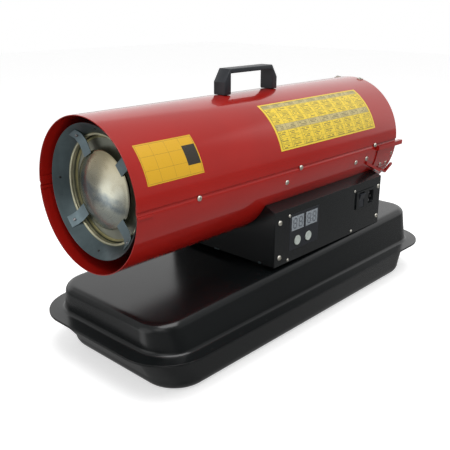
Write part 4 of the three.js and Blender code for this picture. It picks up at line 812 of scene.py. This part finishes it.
COVER_FOOT, COVER_WALL, COVER_TOP = (23, 25, 25, 52), (33, 25, 25, 44), (51, 43, 43, 26)
PAN_ROOT, PAN_WALL, PAN_FLOOR = (20, 12, 38, 45), (22, 38, 41, 56), (56, 72, 75, 22)
TOP_FRONT, TOP_SLOPE = 106.7 * MM, 21.8 / 728
TOP_HOLES = {"filler_neck": 18.9 * MM, "gauge_body": 11.4 * MM}
DRAIN_HOLE, DRAIN_DEPTH = 6.4 * MM, 4 * MM
PRESSED_EDGE = 0.4 * MM
WELD_X, WELD_Y = 147, (-267, -208, -150, -92, -13, 94, 146, 198, 250)
WELD_SHAPE = ((0.0, 0.35), (0.8, 0.3), (1.3, 0.0))


def rounded_loop(bm, side, front, rear, corner, height, tilt, steps):
    """A rounded rectangle, inset from the tank's flange, which may slope along Y."""
    before = set(bm.verts)
    made = bmesh.ops.create_grid(bm, x_segments=1, y_segments=1, size=1.0)["verts"]
    bmesh.ops.scale(bm, vec=(HALF_WIDTH - side, HALF_LENGTH - (front + rear) / 2, 1), verts=made)
    bmesh.ops.translate(bm, vec=(0, (front - rear) / 2, 0), verts=made)
    bmesh.ops.bevel(
        bm, geom=made, offset=corner, offset_type="OFFSET", segments=steps, profile=0.5,
        affect="VERTICES", material=-1,
    )
    verts = [vert for vert in bm.verts if vert not in before]
    shear = Matrix.Identity(4)
    shear[2][1] = tilt
    shear[2][3] = height + tilt * HALF_LENGTH
    bmesh.ops.transform(bm, matrix=shear, verts=verts)
    faces = {face for vert in verts for face in vert.link_faces}
    edges = {edge for vert in verts for edge in vert.link_edges}
    return list(faces), list(edges)


def lofted(bm, rings, steps):
    """Bridges rounded rectangles, and keeps the face of the last one."""
    loops = [rounded_loop(bm, *ring, steps) for ring in rings]
    for faces, _ in loops[:-1]:
        bmesh.ops.delete(bm, geom=faces, context="FACES_ONLY")
    for (_, lower), (_, upper) in zip(loops, loops[1:]):
        bmesh.ops.bridge_loops(bm, edges=lower + upper)


def ring_at(walls, inset, height, tilt=0.0):
    """A ring in metres, inset from the walls, which are in millimetres."""
    side, front, rear, corner = (value * MM for value in walls)
    return side + inset, front + inset, rear + inset, corner - inset, height, tilt


def bend_rings(walls, height, radius, rise, tilt=0.0):
    """Rings round the bend from a wall to the top or the floor."""
    turns = [math.radians(9 * step) for step in range(11)]
    return [
        ring_at(walls, radius * (1 - math.cos(a)), height + rise * radius * math.sin(a), tilt)
        for a in turns
    ]


def press_rings(walls, height, radius, rise):
    """Rings round the hollow bend from the flange to a wall."""
    turns = [math.radians(90 - 15 * step) for step in range(7)]
    return [
        ring_at(walls, radius * math.cos(a) - radius, height + rise * radius * (1 - math.sin(a)))
        for a in turns
    ]


class HEATER_OT_tank(bpy.types.Operator):
    """Press the two shells of the fuel tank and weld their flanges"""
    bl_idname = "heater.tank"
    bl_label = "Fuel Tank"

    def execute(self, context):
        tank = context.scene.heater_tank
        flange_top = tank_low.z + tank.sheet
        bm = bmesh.new()
        lofted(bm, [
            (0.0, 0.0, 0.0, tank.flange_corner, flange_top, 0.0),
            *press_rings(COVER_FOOT, flange_top, tank.press, 1),
            *bend_rings(COVER_WALL, TOP_FRONT - tank.shoulder, tank.shoulder, 1, TOP_SLOPE),
            ring_at(COVER_TOP, 0.0, TOP_FRONT, TOP_SLOPE),
        ], tank.corner_steps)
        cover = finished("tank_cover", bm, "black_paint", ("tank_upper_shell",), wall=tank.sheet)
        for node, radius in TOP_HOLES.items():
            spot = middle(node)
            height = TOP_FRONT + TOP_SLOPE * (spot.y + HALF_LENGTH)
            cut_round(cover, (spot.x, spot.y, height), radius, 8 * MM, (0, -TOP_SLOPE, 1))
        edge_bevel(cover, PRESSED_EDGE, angle=60)

        bm = bmesh.new()
        flange_under = pan_high.z - tank.sheet
        lofted(bm, [
            (0.0, 0.0, 0.0, tank.flange_corner, flange_under, 0.0),
            *press_rings(PAN_ROOT, flange_under, tank.press, -1),
            *bend_rings(PAN_WALL, tank.pan_bend, tank.pan_bend, -1),
            ring_at(PAN_FLOOR, 0.0, 0.0),
        ], tank.corner_steps)
        bmesh.ops.remove_doubles(bm, verts=bm.verts, dist=MERGE)
        aim(bm, -AXES["Z"])
        pan = finished(
            "tank_pan", bm, "black_paint", ("tank_lower_shell",), wall=tank.sheet, outward=False
        )
        seat = middle("drain_plug")
        seat.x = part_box("drain_plug")[1].x - DRAIN_DEPTH
        cut_round(pan, seat, DRAIN_HOLE, 20 * MM)
        edge_bevel(pan, PRESSED_EDGE, angle=60)

        bm = bmesh.new()
        spot = [(radius * MM, flange_top + height * MM) for radius, height in WELD_SHAPE]
        for x in (WELD_X * MM, -WELD_X * MM):
            for y in WELD_Y:
                spin_profile(bm, spot, 12, "Z", (x, y * MM, 0), closed=False)
        finished("flange_welds", bm, "black_paint")
        return {"FINISHED"}


# Barrel: places round it are in degrees above +X

ROLLED_EDGE = 0.35 * MM
SEAM_STEP = ((5.0, 0), (2.4, 0), (-1.0, 0), (-1.5, 0.3), (-1.9, 0.8))
LEDGE_LEAN, LEDGE_LENGTH = 2.4, 25 * MM
SEAM_SCREWS = ((-1.6, -248.7), (-0.9, -23.5), (-0.2, 200))
SHELL_SCREWS = ((-10.6, -56), (-12.2, 142), (-11.5, 177), (-13.7, 265))
BRACKET_SCREWS = ((-22.4, 234), (-22.6, 254))
CLIP_ANGLES, CLIP_Y = (76.5, 103.5), 269 * MM


def on_barrel(angle, y, radius=BARREL_RADIUS):
    """A point on the barrel and the outward direction there."""
    turn = math.radians(angle)
    out = Vector((math.cos(turn), 0, math.sin(turn)))
    return Vector((0, y, BARREL_Z)) + out * radius, out


def along_barrel(places, lift=0.1):
    """The points and directions of (angle, Y in millimetres) pairs, a little above the sheet."""
    return [on_barrel(angle, y * MM, BARREL_RADIUS + lift * MM) for angle, y in places]


def bent_strip(bm, radius, start, stop, front, rear, steps):
    """Part of a cylinder's skin about the barrel's axis, between two angles."""
    place, _ = on_barrel(start, front, radius)
    verts = [bm.verts.new(place), bm.verts.new((place.x, rear, place.z))]
    bmesh.ops.spin(
        bm, geom=[*verts, bm.edges.new(verts)], cent=(0, 0, BARREL_Z), axis=(0, -1, 0),
        dvec=(0, 0, 0), angle=math.radians(stop - start), steps=steps, use_merge=False,
        use_duplicate=False,
    )


def joggled_shell(bm, outer, inner, front, rear, steps):
    """The lower half, whose two edges step in under the upper half."""
    start = 2.4
    points = [
        on_barrel(angle, 0, inner + (outer - inner) * part)[0] for angle, part in SEAM_STEP
    ]
    for i in range(steps + 1):
        points.append(on_barrel(-start - (180 - 2 * start) * i / steps, 0, outer)[0])
    points += [Vector((-p.x, 0, p.z)) for p in reversed(points[:len(SEAM_STEP)])]
    verts = [bm.verts.new((p.x, front, p.z)) for p in points]
    edges = [bm.edges.new(pair) for pair in zip(verts, verts[1:])]
    drawn_out(bm, bmesh.ops.extrude_edge_only(bm, edges=edges), (0, rear - front, 0))


class HEATER_OT_barrel(bpy.types.Operator):
    """Roll the two half shells of the barrel and screw them together"""
    bl_idname = "heater.barrel"
    bl_label = "Barrel"

    def execute(self, context):
        barrel = context.scene.heater_barrel
        front, rear = shell_low.y, shell_high.y
        bm = bmesh.new()
        bent_strip(bm, BARREL_RADIUS, 0.7, 179.3, front, rear, barrel.steps)
        aim(bm, AXES["Z"])
        upper = finished(
            "barrel_upper", bm, "red_paint", ("barrel_upper_shell",), wall=barrel.sheet,
            outward=False,
        )
        edge_bevel(upper, ROLLED_EDGE, segments=3, angle=60)
        bm = bmesh.new()
        under = BARREL_RADIUS - barrel.sheet - 0.3 * MM
        joggled_shell(bm, BARREL_RADIUS, under, front, rear, barrel.steps)
        aim(bm, -AXES["Z"])
        lower = finished(
            "barrel_lower", bm, "red_paint", ("barrel_lower_shell",), wall=barrel.sheet,
            outward=False, smooth=60,
        )
        edge_bevel(lower, ROLLED_EDGE, segments=3, angle=75)

        bm = bmesh.new()
        lean = Matrix.Rotation(math.radians(LEDGE_LEAN), 4, "Y")
        for side in (1, -1):
            ledge = box_in(
                bm, (BARREL_RADIUS - 3 * MM, front + 0.8 * MM, -4.4 * MM),
                (BARREL_RADIUS + 1.7 * MM, front + LEDGE_LENGTH, -0.6 * MM),
            )
            place = Matrix.Scale(side, 4, AXES["X"]) @ Matrix.Translation((0, 0, BARREL_Z)) @ lean
            bmesh.ops.transform(bm, matrix=place, verts=ledge)
        finished("seam_ledge", bm, "red_paint", bevel=0.7 * MM, segments=3)
        screws("seam_screws", both_sides(along_barrel(SEAM_SCREWS)), 3.9, 2.4)
        screws("shell_screws", both_sides(along_barrel(SHELL_SCREWS)), 4.0, 2.0)

        bm = bmesh.new()
        for angle in CLIP_ANGLES:
            verts = box_in(bm, (-4 * MM, -5 * MM, -0.2 * MM), (4 * MM, 6 * MM, 1.6 * MM))
            verts += rod_in(bm, (0, 0, 1.4 * MM), (0, 0, 3 * MM), 2.6 * MM, 20)
            place = on_barrel(angle, CLIP_Y, BARREL_RADIUS + 0.1 * MM)
            bmesh.ops.transform(bm, matrix=facing(*place), verts=verts)
        finished("guard_clips", bm, "zinc_plate", bevel=0.3 * MM)
        return {"FINISHED"}


def label_patch(name, kind, low_angle, high_angle, front, rear):
    """A thin film laid on the barrel between two angles and two places on the axis."""
    bm = bmesh.new()
    bm.loops.layers.uv.new("UVMap")
    bmesh.ops.create_grid(bm, x_segments=24, y_segments=32, size=0.5, calc_uvs=True)
    for vert in bm.verts:
        angle = low_angle + (high_angle - low_angle) * (vert.co.y + 0.5)
        y = front + (rear - front) * (vert.co.x + 0.5)
        vert.co = on_barrel(angle, y, BARREL_RADIUS + 0.12 * MM)[0]
    aim(bm, Vector((1, 0, 1)))
    finished(name, bm, kind, wall=0.1 * MM, outward=False)


class HEATER_OT_labels(bpy.types.Operator):
    """Lay two yellow labels on the barrel, with a plain ruled print"""
    bl_idname = "heater.labels"
    bl_label = "Labels"

    def execute(self, context):
        label_patch("label_front", "label_small", 15.7, 45.0, -333 * MM, -234.5 * MM)
        label_patch("label_side", "label_large", 16.3, 60.2, -69 * MM, 203 * MM)
        return {"FINISHED"}


class HEATER_OT_handle(bpy.types.Operator):
    """Mould the carrying handle"""
    bl_idname = "heater.handle"
    bl_label = "Handle"

    def execute(self, context):
        smoothed("handle", "black_plastic", 0.6, 40)
        return {"FINISHED"}


# Outlet: profiles are in millimetres, and angles in degrees above +X

STRAP_ANGLES, HOLDER_ANGLES = (41, 120, 221, 314), (266.7, 86.7, 356.7, 176.7)


def turned(name, kind, node, profile, smooth=35):
    """A closed profile, turned about the burner's axis."""
    bm = bmesh.new()
    steps = bpy.context.scene.heater_outlet.steps
    profile = [(max(radius, 0.0), y) for radius, y in profile]
    spin_profile(bm, in_mm(*profile), steps, "Y", (0, 0, BURNER_Z))
    finished(name, bm, kind, (node,), smooth=smooth)


def spreader_profile():
    """The domed sheet, a spherical cap inside a flat rim."""
    rim_y, rim, bulge, proud, sheet = -323.5, 55.3, 54.0, 15.0, 1.0
    rise = proud - sheet
    curve = (bulge ** 2 + rise ** 2) / (2 * rise)
    edge = math.degrees(math.asin(bulge / curve)) - 90
    centre = (0.0, rim_y - proud + curve)
    return [
        *arc_points(centre, curve - sheet, -90, edge - 0.4, 16),
        (bulge + 0.3, rim_y), (rim, rim_y), (rim + 0.3, rim_y - sheet / 2), (rim, rim_y - sheet),
        *arc_points(centre, curve, edge - 0.8, -90, 16),
    ]


def on_dish(angle, reach, lift):
    """A place on the ring's dish and the direction that it faces."""
    slope = math.atan2(THROAT_Y - RING_FRONT, RING_RADIUS - THROAT_RADIUS)
    out = Vector((math.cos(math.radians(angle)), 0, math.sin(math.radians(angle))))
    normal = out * -math.sin(slope) + Vector((0, -math.cos(slope), 0))
    y = RING_FRONT - 1.4 + (RING_RADIUS - reach) * math.tan(slope)
    return Vector((0, y * MM, BURNER_Z)) + out * reach * MM + normal * lift * MM, normal


class HEATER_OT_outlet(bpy.types.Operator):
    """Turn the chamber, its front ring, the flame tube and the domed spreader"""
    bl_idname = "heater.outlet"
    bl_label = "Hot Air Outlet"

    def execute(self, context):
        front, outer, throat, y = RING_FRONT, RING_RADIUS, THROAT_RADIUS, THROAT_Y
        turned("front_ring", "ring_sheet", "chamber_front_ring", [
            (outer - 1, front + 8), (outer, front + 8), (outer, front - 0.6),
            *arc_points((outer - 1, front - 0.6), 1.0, 0, -70, 4)[1:],
            (outer - 1.8, front - 1.0), (throat + 1.2, y - 1.3),
            *arc_points((throat, y), 2.2, -60, -250, 12),
            (throat - 1.6, y + 3.4), (throat - 1.6, y + 14), (throat - 0.8, y + 14),
            (throat - 0.7, y + 3.0), (throat + 1.4, y - 0.1), (outer - 2, front + 0.4),
            (outer - 1, front + 1.2),
        ])
        turned("chamber_drum", "galvanised", "combustion_chamber", [
            (DRUM_RADIUS - 1, DRUM_FRONT), (DRUM_RADIUS, DRUM_FRONT), (DRUM_RADIUS, DRUM_REAR),
            (DRUM_RADIUS - 1, DRUM_REAR),
        ])
        tube, front, hole, rear = TUBE_RADIUS, TUBE_FRONT, TUBE_HOLE, DRUM_REAR - 1.3
        inside = DRUM_RADIUS - 1.3
        turned("flame_tube_skin", "tube_sheet", "flame_tube", [
            (tube - 1, front + 2.0), (hole + 1, front + 2.9), (hole, front + 2.4),
            (hole + 1, front + 1.9), (tube - 1.2, front + 1.0),
            *arc_points((tube, front), 1.7, 180, -70, 10),
            (tube, front + 2.2), (tube, rear), (inside, rear), (inside, rear + 1),
            (tube - 1, rear + 1),
        ])
        turned("spreader_skin", "spreader_steel", "spreader_dome", spreader_profile(), 50)
        for index in range(1, 5):
            smoothed(f"spreader_strap_{index}", "strap_steel", 0.3)
        rivets = [on_dish(angle, 83.0, 2.3) for angle in STRAP_ANGLES]
        screws("strap_rivets", rivets, 2.4, 1.2, "machined_steel", recess=False)
        holders = [on_dish(angle, 86.3, 0.0) for angle in HOLDER_ANGLES]
        screws("ring_screws", holders, 2.0, 1.0, "black_paint", "galvanised", recess=False)
        return {"FINISHED"}


# Box and control panel. Rows give Y and Z, or X, reach and height, in millimetres.

PANEL_SCREWS = ((-84, 194), (-84, 136.7), (208, 194), (208, 136.7))
PANEL_RIVETS = ((-60, 200), (-62, 127), (128, 200), (123, 128))
PLATE_TABS = ((88, 3, 3), (-5, 6, 1.6), (-88, 3, 3))
FILM_LOW, FILM_HIGH = (-59, 140.5), (19, 201)
BUTTON_HOLE, DIGIT_SHIFT = 8.8 * MM, 7.2 * MM


class HEATER_OT_box(bpy.types.Operator):
    """Fold the box between tank and barrel, with its cover, feet and screws"""
    bl_idname = "heater.box"
    bl_label = "Control Box"

    def execute(self, context):
        for node in ("box_frame", "control_panel", "side_cover"):
            smoothed(node, "black_paint", 0.9, 40)
        for node in ("box_foot_left", "box_foot_right"):
            smoothed(node, "black_paint", 0.5, slot="galvanised")
        bm = bmesh.new()
        foot = panel_low.z + 0.4 * MM
        for x, reach, height in PLATE_TABS:
            box_in(
                bm, ((x - reach) * MM, panel_low.y - 1.6 * MM, foot),
                ((x + reach) * MM, panel_low.y + 0.4 * MM, foot + height * MM),
            )
        finished("plate_tabs", bm, "galvanised", bevel=0.4 * MM)
        sides = [
            both_sides([(Vector((panel_high.x, y * MM, z * MM)), AXES["X"]) for y, z in rows])
            for rows in (PANEL_SCREWS, PANEL_RIVETS)
        ]
        screws("panel_screws", sides[0], 4.2, 2.4)
        screws("panel_rivets", sides[1], 2.5, 1.3, recess=False)
        return {"FINISHED"}


# The seven bars of a figure: place across and up, and whether the bar stands
SEGMENTS = (
    (0.5, 1.0, False), (0.5, 0.5, False), (0.5, 0.0, False), (0.0, 0.75, True), (1.0, 0.75, True),
    (0.0, 0.25, True), (1.0, 0.25, True),
)


def digit_in(bm, centre, width=8.2 * MM, height=15.5 * MM, thick=2.1 * MM):
    """Seven bars with pointed ends, on a face that looks along +X."""
    tip = thick / 2
    for across, up, upright in SEGMENTS:
        half = ((height / 2 if upright else width) - tip) / 2
        place = centre + Vector((0, (across - 0.5) * width, (up - 0.5) * height))
        outline = [(-half, 0), (-half + tip, tip), (half - tip, tip), (half, 0),
                   (half - tip, -tip), (-half + tip, -tip)]
        points = [Vector((0, b, a) if upright else (0, a, b)) for a, b in outline]
        face = bm.faces.new([bm.verts.new(place + point) for point in points])
        drawn_out(bm, bmesh.ops.extrude_face_region(bm, geom=[face]), (0.12 * MM, 0, 0))


class HEATER_OT_panel(bpy.types.Operator):
    """Fit the displays, buttons, film and power module to the panel"""
    bl_idname = "heater.panel"
    bl_label = "Panel Fittings"

    def execute(self, context):
        half = panel_high.x
        bm = bmesh.new()
        low, high = in_mm(FILM_LOW, FILM_HIGH)
        box_in(bm, (half - 0.05 * MM, *low), (half + 0.2 * MM, *high))
        film = finished("panel_film", bm, "panel_film", bevel=0.15 * MM)
        for side in ("left", "right"):
            place = middle("button_" + side)
            cut_round(film, (half, place.y, place.z), BUTTON_HOLE, 2 * MM)
            node = "display_" + side
            smoothed(node, "display_window", 0.35)
            face = middle(node)
            face.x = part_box(node)[1].x
            bm = bmesh.new()
            for shift in (-DIGIT_SHIFT, DIGIT_SHIFT):
                digit_in(bm, face + Vector((0, shift, 0)))
            finished("digits_" + side, bm, "unlit_segment")
        for side in ("left", "right"):
            node = "button_" + side
            centre = middle(node)
            rear, face = (corner.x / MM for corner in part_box(node))
            bm = bmesh.new()
            spin_profile(bm, in_mm(
                (0, face - 0.6), (4.4, face - 0.45), (6.4, face - 0.1), (7.2, face),
                (7.8, face - 0.35), (8, face - 1), (8, rear + 11), (11, rear + 11),
                (11, rear + 9), (3, rear + 9), (3, rear), (0, rear),
            ), 64, "X", centre, closed=False)
            finished(node + "_cap", bm, "pale_plastic", (node,), BODY_OF[node])
            bm = bmesh.new()
            plate = half / MM
            spin_profile(bm, in_mm(
                (8.3, plate - 1.2), (8.3, plate + 0.5), (8.6, plate + 0.8), (9.3, plate + 0.7),
                (9.7, plate + 0.15), (9.7, plate - 1.2),
            ), 64, "X", centre)
            finished(node + "_bezel", bm, "module_plastic")
        smoothed("power_module", "module_plastic", 0.35)
        smoothed("rocker_switch", "black_plastic", 0.35, 20)
        smoothed("inlet_contacts", "machined_steel", 0.3)
        smoothed("control_board", "circuit_board", 0.2)
        return {"FINISHED"}


class HEATER_OT_cord_hooks(bpy.types.Operator):
    """Fit the bracket that holds the wound cord"""
    bl_idname = "heater.cord_hooks"
    bl_label = "Cord Hooks"

    def execute(self, context):
        smoothed("cord_hook_bracket", "red_paint", 0, 24)
        screws("bracket_screws", along_barrel(BRACKET_SCREWS, 2), 3.2, 1.8)
        return {"FINISHED"}


# Fan end, filler and burner

class HEATER_OT_fan_end(bpy.types.Operator):
    """Build the inlet guard, fan, motor and air pump"""
    bl_idname = "heater.fan_end"
    bl_label = "Fan, Motor and Pump"

    def execute(self, context):
        wire, rings, spokes = 1.5 * MM, 5, 3
        y = middle("rear_guard").y
        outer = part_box("rear_guard")[1].x - wire
        inner = 16 * MM - wire
        hub = Vector((0, y, BARREL_Z))
        bm = bmesh.new()
        for index in range(rings):
            reach = inner + (outer - inner) * index / (rings - 1)
            spin_profile(bm, arc_points((reach, y), wire, 0, 330, 11), 96, "Y", (0, 0, BARREL_Z))
        for index in range(spokes):
            tip = on_barrel(90 + 180 / spokes * index, 0)[1] * outer
            rod_in(bm, hub - tip, hub + tip, wire, 16)
        finished("inlet_guard", bm, "black_paint", ("rear_guard",))
        for node, kind, bevel in (
            ("fan", "cast_aluminium", 0.3), ("motor", "black_paint", 0.8),
            ("motor_saddle", "galvanised", 0.3), ("motor_shaft", "machined_steel", 0.3),
            ("pump_body", "cast_aluminium", 0.6), ("pump_end_cover", "cast_aluminium", 0.6),
            ("pump_rotor", "machined_steel", 0.2), ("pump_filter", "pressed_felt", 0.5),
            ("pressure_screw", "brass", 0.3),
        ):
            smoothed(node, kind, bevel)
        return {"FINISHED"}


class HEATER_OT_filler(bpy.types.Operator):
    """Fit the filler and its cap, the gauge, the pick-up and the drain plug"""
    bl_idname = "heater.filler"
    bl_label = "Filler and Gauge"

    def execute(self, context):
        for node, kind, bevel in (
            ("filler_neck", "black_paint", 0.4), ("cap_plug", "black_rubber", 0.4),
            ("fuel_cap", "black_plastic", 0.8), ("gauge_body", "black_plastic", 0.4),
            ("gauge_lens", "clear_lens", 0.2), ("gauge_pointer", "pale_plastic", 0.15),
            ("gauge_float", "brass", 0.4), ("fuel_pickup", "brass", 0.3),
            ("fuel_filter", "pressed_felt", 0.4), ("drain_plug", "brass", 0.5),
        ):
            smoothed(node, kind, bevel)
        return {"FINISHED"}


class HEATER_OT_burner(bpy.types.Operator):
    """Finish the burner, its lines and the electrics inside"""
    bl_idname = "heater.burner"
    bl_label = "Burner and Electrics"

    def execute(self, context):
        for node, kind, bevel in (
            ("chamber_rear_plate", "galvanised", 0.3), ("burner_head", "galvanised", 0.3),
            ("chamber_saddle_front", "galvanised", 0.3),
            ("chamber_saddle_rear", "galvanised", 0.3), ("nozzle", "brass", 0.3),
            ("electrode_left", "glazed_ceramic", 0.15),
            ("electrode_right", "glazed_ceramic", 0.15), ("photocell", "black_plastic", 0.4),
            ("limit_thermostat", "cast_aluminium", 0.3),
            ("ignition_transformer", "black_plastic", 0.8),
            ("temperature_probe", "black_plastic", 0.3),
        ):
            smoothed(node, kind, bevel)
        for node in ("fuel_hose", "air_hose"):
            smoothed(node, "black_rubber", 0, 60)
        return {"FINISHED"}


# Studio

WHITE = (1, 1, 1)
LAMP_TARGET = Vector((0, 0, 0.2))


def soft_lamp(name, place, size, power):
    """A square soft lamp that looks at the heater."""
    data = bpy.data.lights.new(name, "AREA")
    data.shape = "RECTANGLE"
    data.size = data.size_y = size
    data.energy = power
    obj = add_object(name, data)
    obj.location = place
    obj.rotation_euler = (LAMP_TARGET - Vector(place)).to_track_quat("-Z", "Y").to_euler()
    return obj


def either(tree, first, second):
    return math_node(tree, "MAXIMUM", first, second)


def room_level(tree, direction, height, azimuth):
    """What polished surfaces mirror: a white backdrop behind, dimmer walls and a dark near side."""
    def along(*vector):
        return vector_node(
            tree, "DOT_PRODUCT", "Value", i0=direction, i1=Vector(vector).normalized()
        )

    def ramp(value, start, stop):
        return remap(tree, value, start, stop, curve="SMOOTHSTEP")

    def blend(factor, first, second):
        node = put(tree, "ShaderNodeMix", data_type="FLOAT")
        return feed(tree, node, i0=factor, i2=first, i3=second).outputs[0]

    forward = along(-math.sin(azimuth), math.cos(azimuth), 0)
    behind = ramp(forward, 0.16, 0.36)
    near = ramp(forward, -0.3, -0.75)
    left = ramp(along(-math.cos(azimuth), -math.sin(azimuth), 0), 0.15, 0.5)
    wall = blend(left, remap(tree, height, 0.0, 0.25, 0.27, 0.38), 0.42)
    wall = blend(behind, blend(near, wall, 0.1), 1.0)
    ceiling = remap(tree, forward, 0.2, 0.7, 0.44, 0.6)
    upper = blend(ramp(height, 0.56, 0.65), wall, ceiling)
    table = remap(tree, height, -0.12, -0.45, 0.13, 0.25)
    for mask, level in ((near, 0.12), (left, 0.2), (behind, 0.3)):
        table = blend(mask, table, level)
    around = blend(ramp(height, -0.03, 0.03), table, upper)
    low_front = remap(tree, height, -0.1, -0.5, 0.2, 0.38)
    high_front = remap(tree, height, 0.0, 0.6, 0.34, 0.5)
    front = blend(ramp(height, -0.06, 0.02), low_front, high_front)
    for spot, start, stop, level in (
        ((-0.22, -0.95, 0.12), 0.86, 0.975, 1.0),
        ((-0.46, -0.84, -0.27), 0.95, 0.99, 1.3),
        ((0.44, -0.64, 0.61), 0.94, 0.985, 1.3),
    ):
        front = blend(ramp(along(*spot), start, stop), front, level)
    return blend(ramp(along(0, -1, 0), 0.15, 0.5), around, front)


def floor_paper(tree, principled):
    """White paper: the camera sees it white where light reaches it, and dimmer in the shadow."""
    fibre = remap(tree, noise(tree, object_point(tree), 40.0, 3.0), 0.3, 0.7, 0.0, 0.2)
    tone = mixed(tree, fibre, scaled(WHITE, 0.82), scaled(WHITE, 0.78))
    feed(tree, principled, Base_Color=tone, Roughness=0.9)
    rays = put(tree, "ShaderNodeLightPath").outputs
    mirrored = either(tree, rays["Is Glossy Ray"], rays["Is Transmission Ray"])
    seen = either(tree, rays["Is Camera Ray"], mirrored)
    glow = put(tree, "ShaderNodeEmission")
    feed(tree, glow, Color=WHITE, Strength=times(tree, seen, 0.55))
    total = put(tree, "ShaderNodeAddShader")
    feed(tree, total, i0=principled.outputs[0], i1=glow.outputs[0])
    feed(tree, tree.nodes["Material Output"], Surface=total.outputs[0])


class HEATER_OT_studio(bpy.types.Operator):
    """Set up the floor, the soft lamps and the camera"""
    bl_idname = "heater.studio"
    bl_label = "Studio"

    def execute(self, context):
        scene = context.scene
        studio = scene.heater_studio
        scene.view_settings.view_transform = "Standard"

        camera = bpy.data.cameras.new("camera")
        camera.lens = studio.focal_length
        camera.sensor_width = 36
        camera.clip_start = 0.01
        holder = add_object("camera", camera)
        turn, rise = studio.azimuth, studio.elevation
        back = Vector((
            math.sin(turn) * math.cos(rise), -math.cos(turn) * math.cos(rise), math.sin(rise)
        ))
        holder.matrix_world = (
            Matrix.Translation(Vector(studio.place))
            @ back.to_track_quat("Z", "Y").to_matrix().to_4x4()
            @ Matrix.Rotation(studio.roll, 4, "Z")
        )
        scene.camera = holder
        self.light_room(scene, studio)
        soft_lamp("key", (0.5, -0.2, 1.9), 1.6, studio.key_power)
        fill = soft_lamp("fill", (1.2, -1.3, 0.9), 1.0, studio.fill_power)
        fill.visible_glossy = False

        bm = bmesh.new()
        bmesh.ops.create_grid(bm, x_segments=1, y_segments=1, size=6.0)
        mesh = to_mesh("floor", bm)
        mesh.materials.append(look("floor_paper", floor_paper))
        floor = add_object("floor", mesh)
        floor.visible_glossy = False
        return {"FINISHED"}

    def light_room(self, scene, studio):
        """White for the camera, the room for polished surfaces, and plain light for the rest."""
        world = bpy.data.worlds.new("studio_world")
        scene.world = world
        world.use_nodes = True
        tree = world.node_tree
        tree.nodes.clear()
        rays = put(tree, "ShaderNodeLightPath").outputs
        direction = put(tree, "ShaderNodeTexCoord").outputs["Generated"]
        level = room_level(tree, direction, parts_of(tree, direction)[2], studio.azimuth)
        mirrored, lit, white = (
            feed(tree, put(tree, "ShaderNodeBackground"), Color=WHITE, Strength=strength).outputs[0]
            for strength in (level, studio.sky, 1.0)
        )
        seen = either(tree, rays["Is Glossy Ray"], rays["Is Transmission Ray"])
        first = feed(tree, put(tree, "ShaderNodeMixShader"), i0=seen, i1=lit, i2=mirrored)
        second = feed(
            tree, put(tree, "ShaderNodeMixShader"), i0=rays["Is Camera Ray"], i1=first.outputs[0],
            i2=white,
        )
        feed(tree, put(tree, "ShaderNodeOutputWorld"), Surface=second.outputs[0])


class HEATER_PT_sidebar(bpy.types.Panel):
    """The heater's operators and settings"""
    bl_idname = "HEATER_PT_sidebar"
    bl_label = "Heater"
    bl_space_type = "VIEW_3D"
    bl_region_type = "UI"
    bl_category = "Heater"

    def draw(self, context):
        for operator in OPERATORS:
            self.layout.operator(operator.bl_idname)
        for name, group in SETTINGS.items():
            column = self.layout.column(align=True)
            column.label(text=name.replace("heater_", "").capitalize())
            for field in group.__annotations__:
                column.prop(getattr(context.scene, name), field)


SETTINGS = {
    "heater_tank": TankSettings,
    "heater_barrel": BarrelSettings,
    "heater_outlet": OutletSettings,
    "heater_panel": PanelSettings,
    "heater_studio": StudioSettings,
}
OPERATORS = (
    HEATER_OT_studio,
    HEATER_OT_tank,
    HEATER_OT_barrel,
    HEATER_OT_labels,
    HEATER_OT_handle,
    HEATER_OT_outlet,
    HEATER_OT_box,
    HEATER_OT_panel,
    HEATER_OT_cord_hooks,
    HEATER_OT_fan_end,
    HEATER_OT_filler,
    HEATER_OT_burner,
)


def register():
    for group in SETTINGS.values():
        bpy.utils.register_class(group)
    for name, group in SETTINGS.items():
        setattr(bpy.types.Scene, name, PointerProperty(type=group))
    for operator in OPERATORS:
        bpy.utils.register_class(operator)
    bpy.utils.register_class(HEATER_PT_sidebar)


def unregister():
    bpy.utils.unregister_class(HEATER_PT_sidebar)
    for operator in reversed(OPERATORS):
        bpy.utils.unregister_class(operator)
    for name in SETTINGS:
        delattr(bpy.types.Scene, name)
    for group in SETTINGS.values():
        bpy.utils.unregister_class(group)


def main():
    register()
    for operator in OPERATORS:
        call = getattr(bpy.ops.heater, operator.bl_idname.split(".")[1])
        call()
    bpy.context.view_layer.update()


if __name__ == "__main__":
    main()
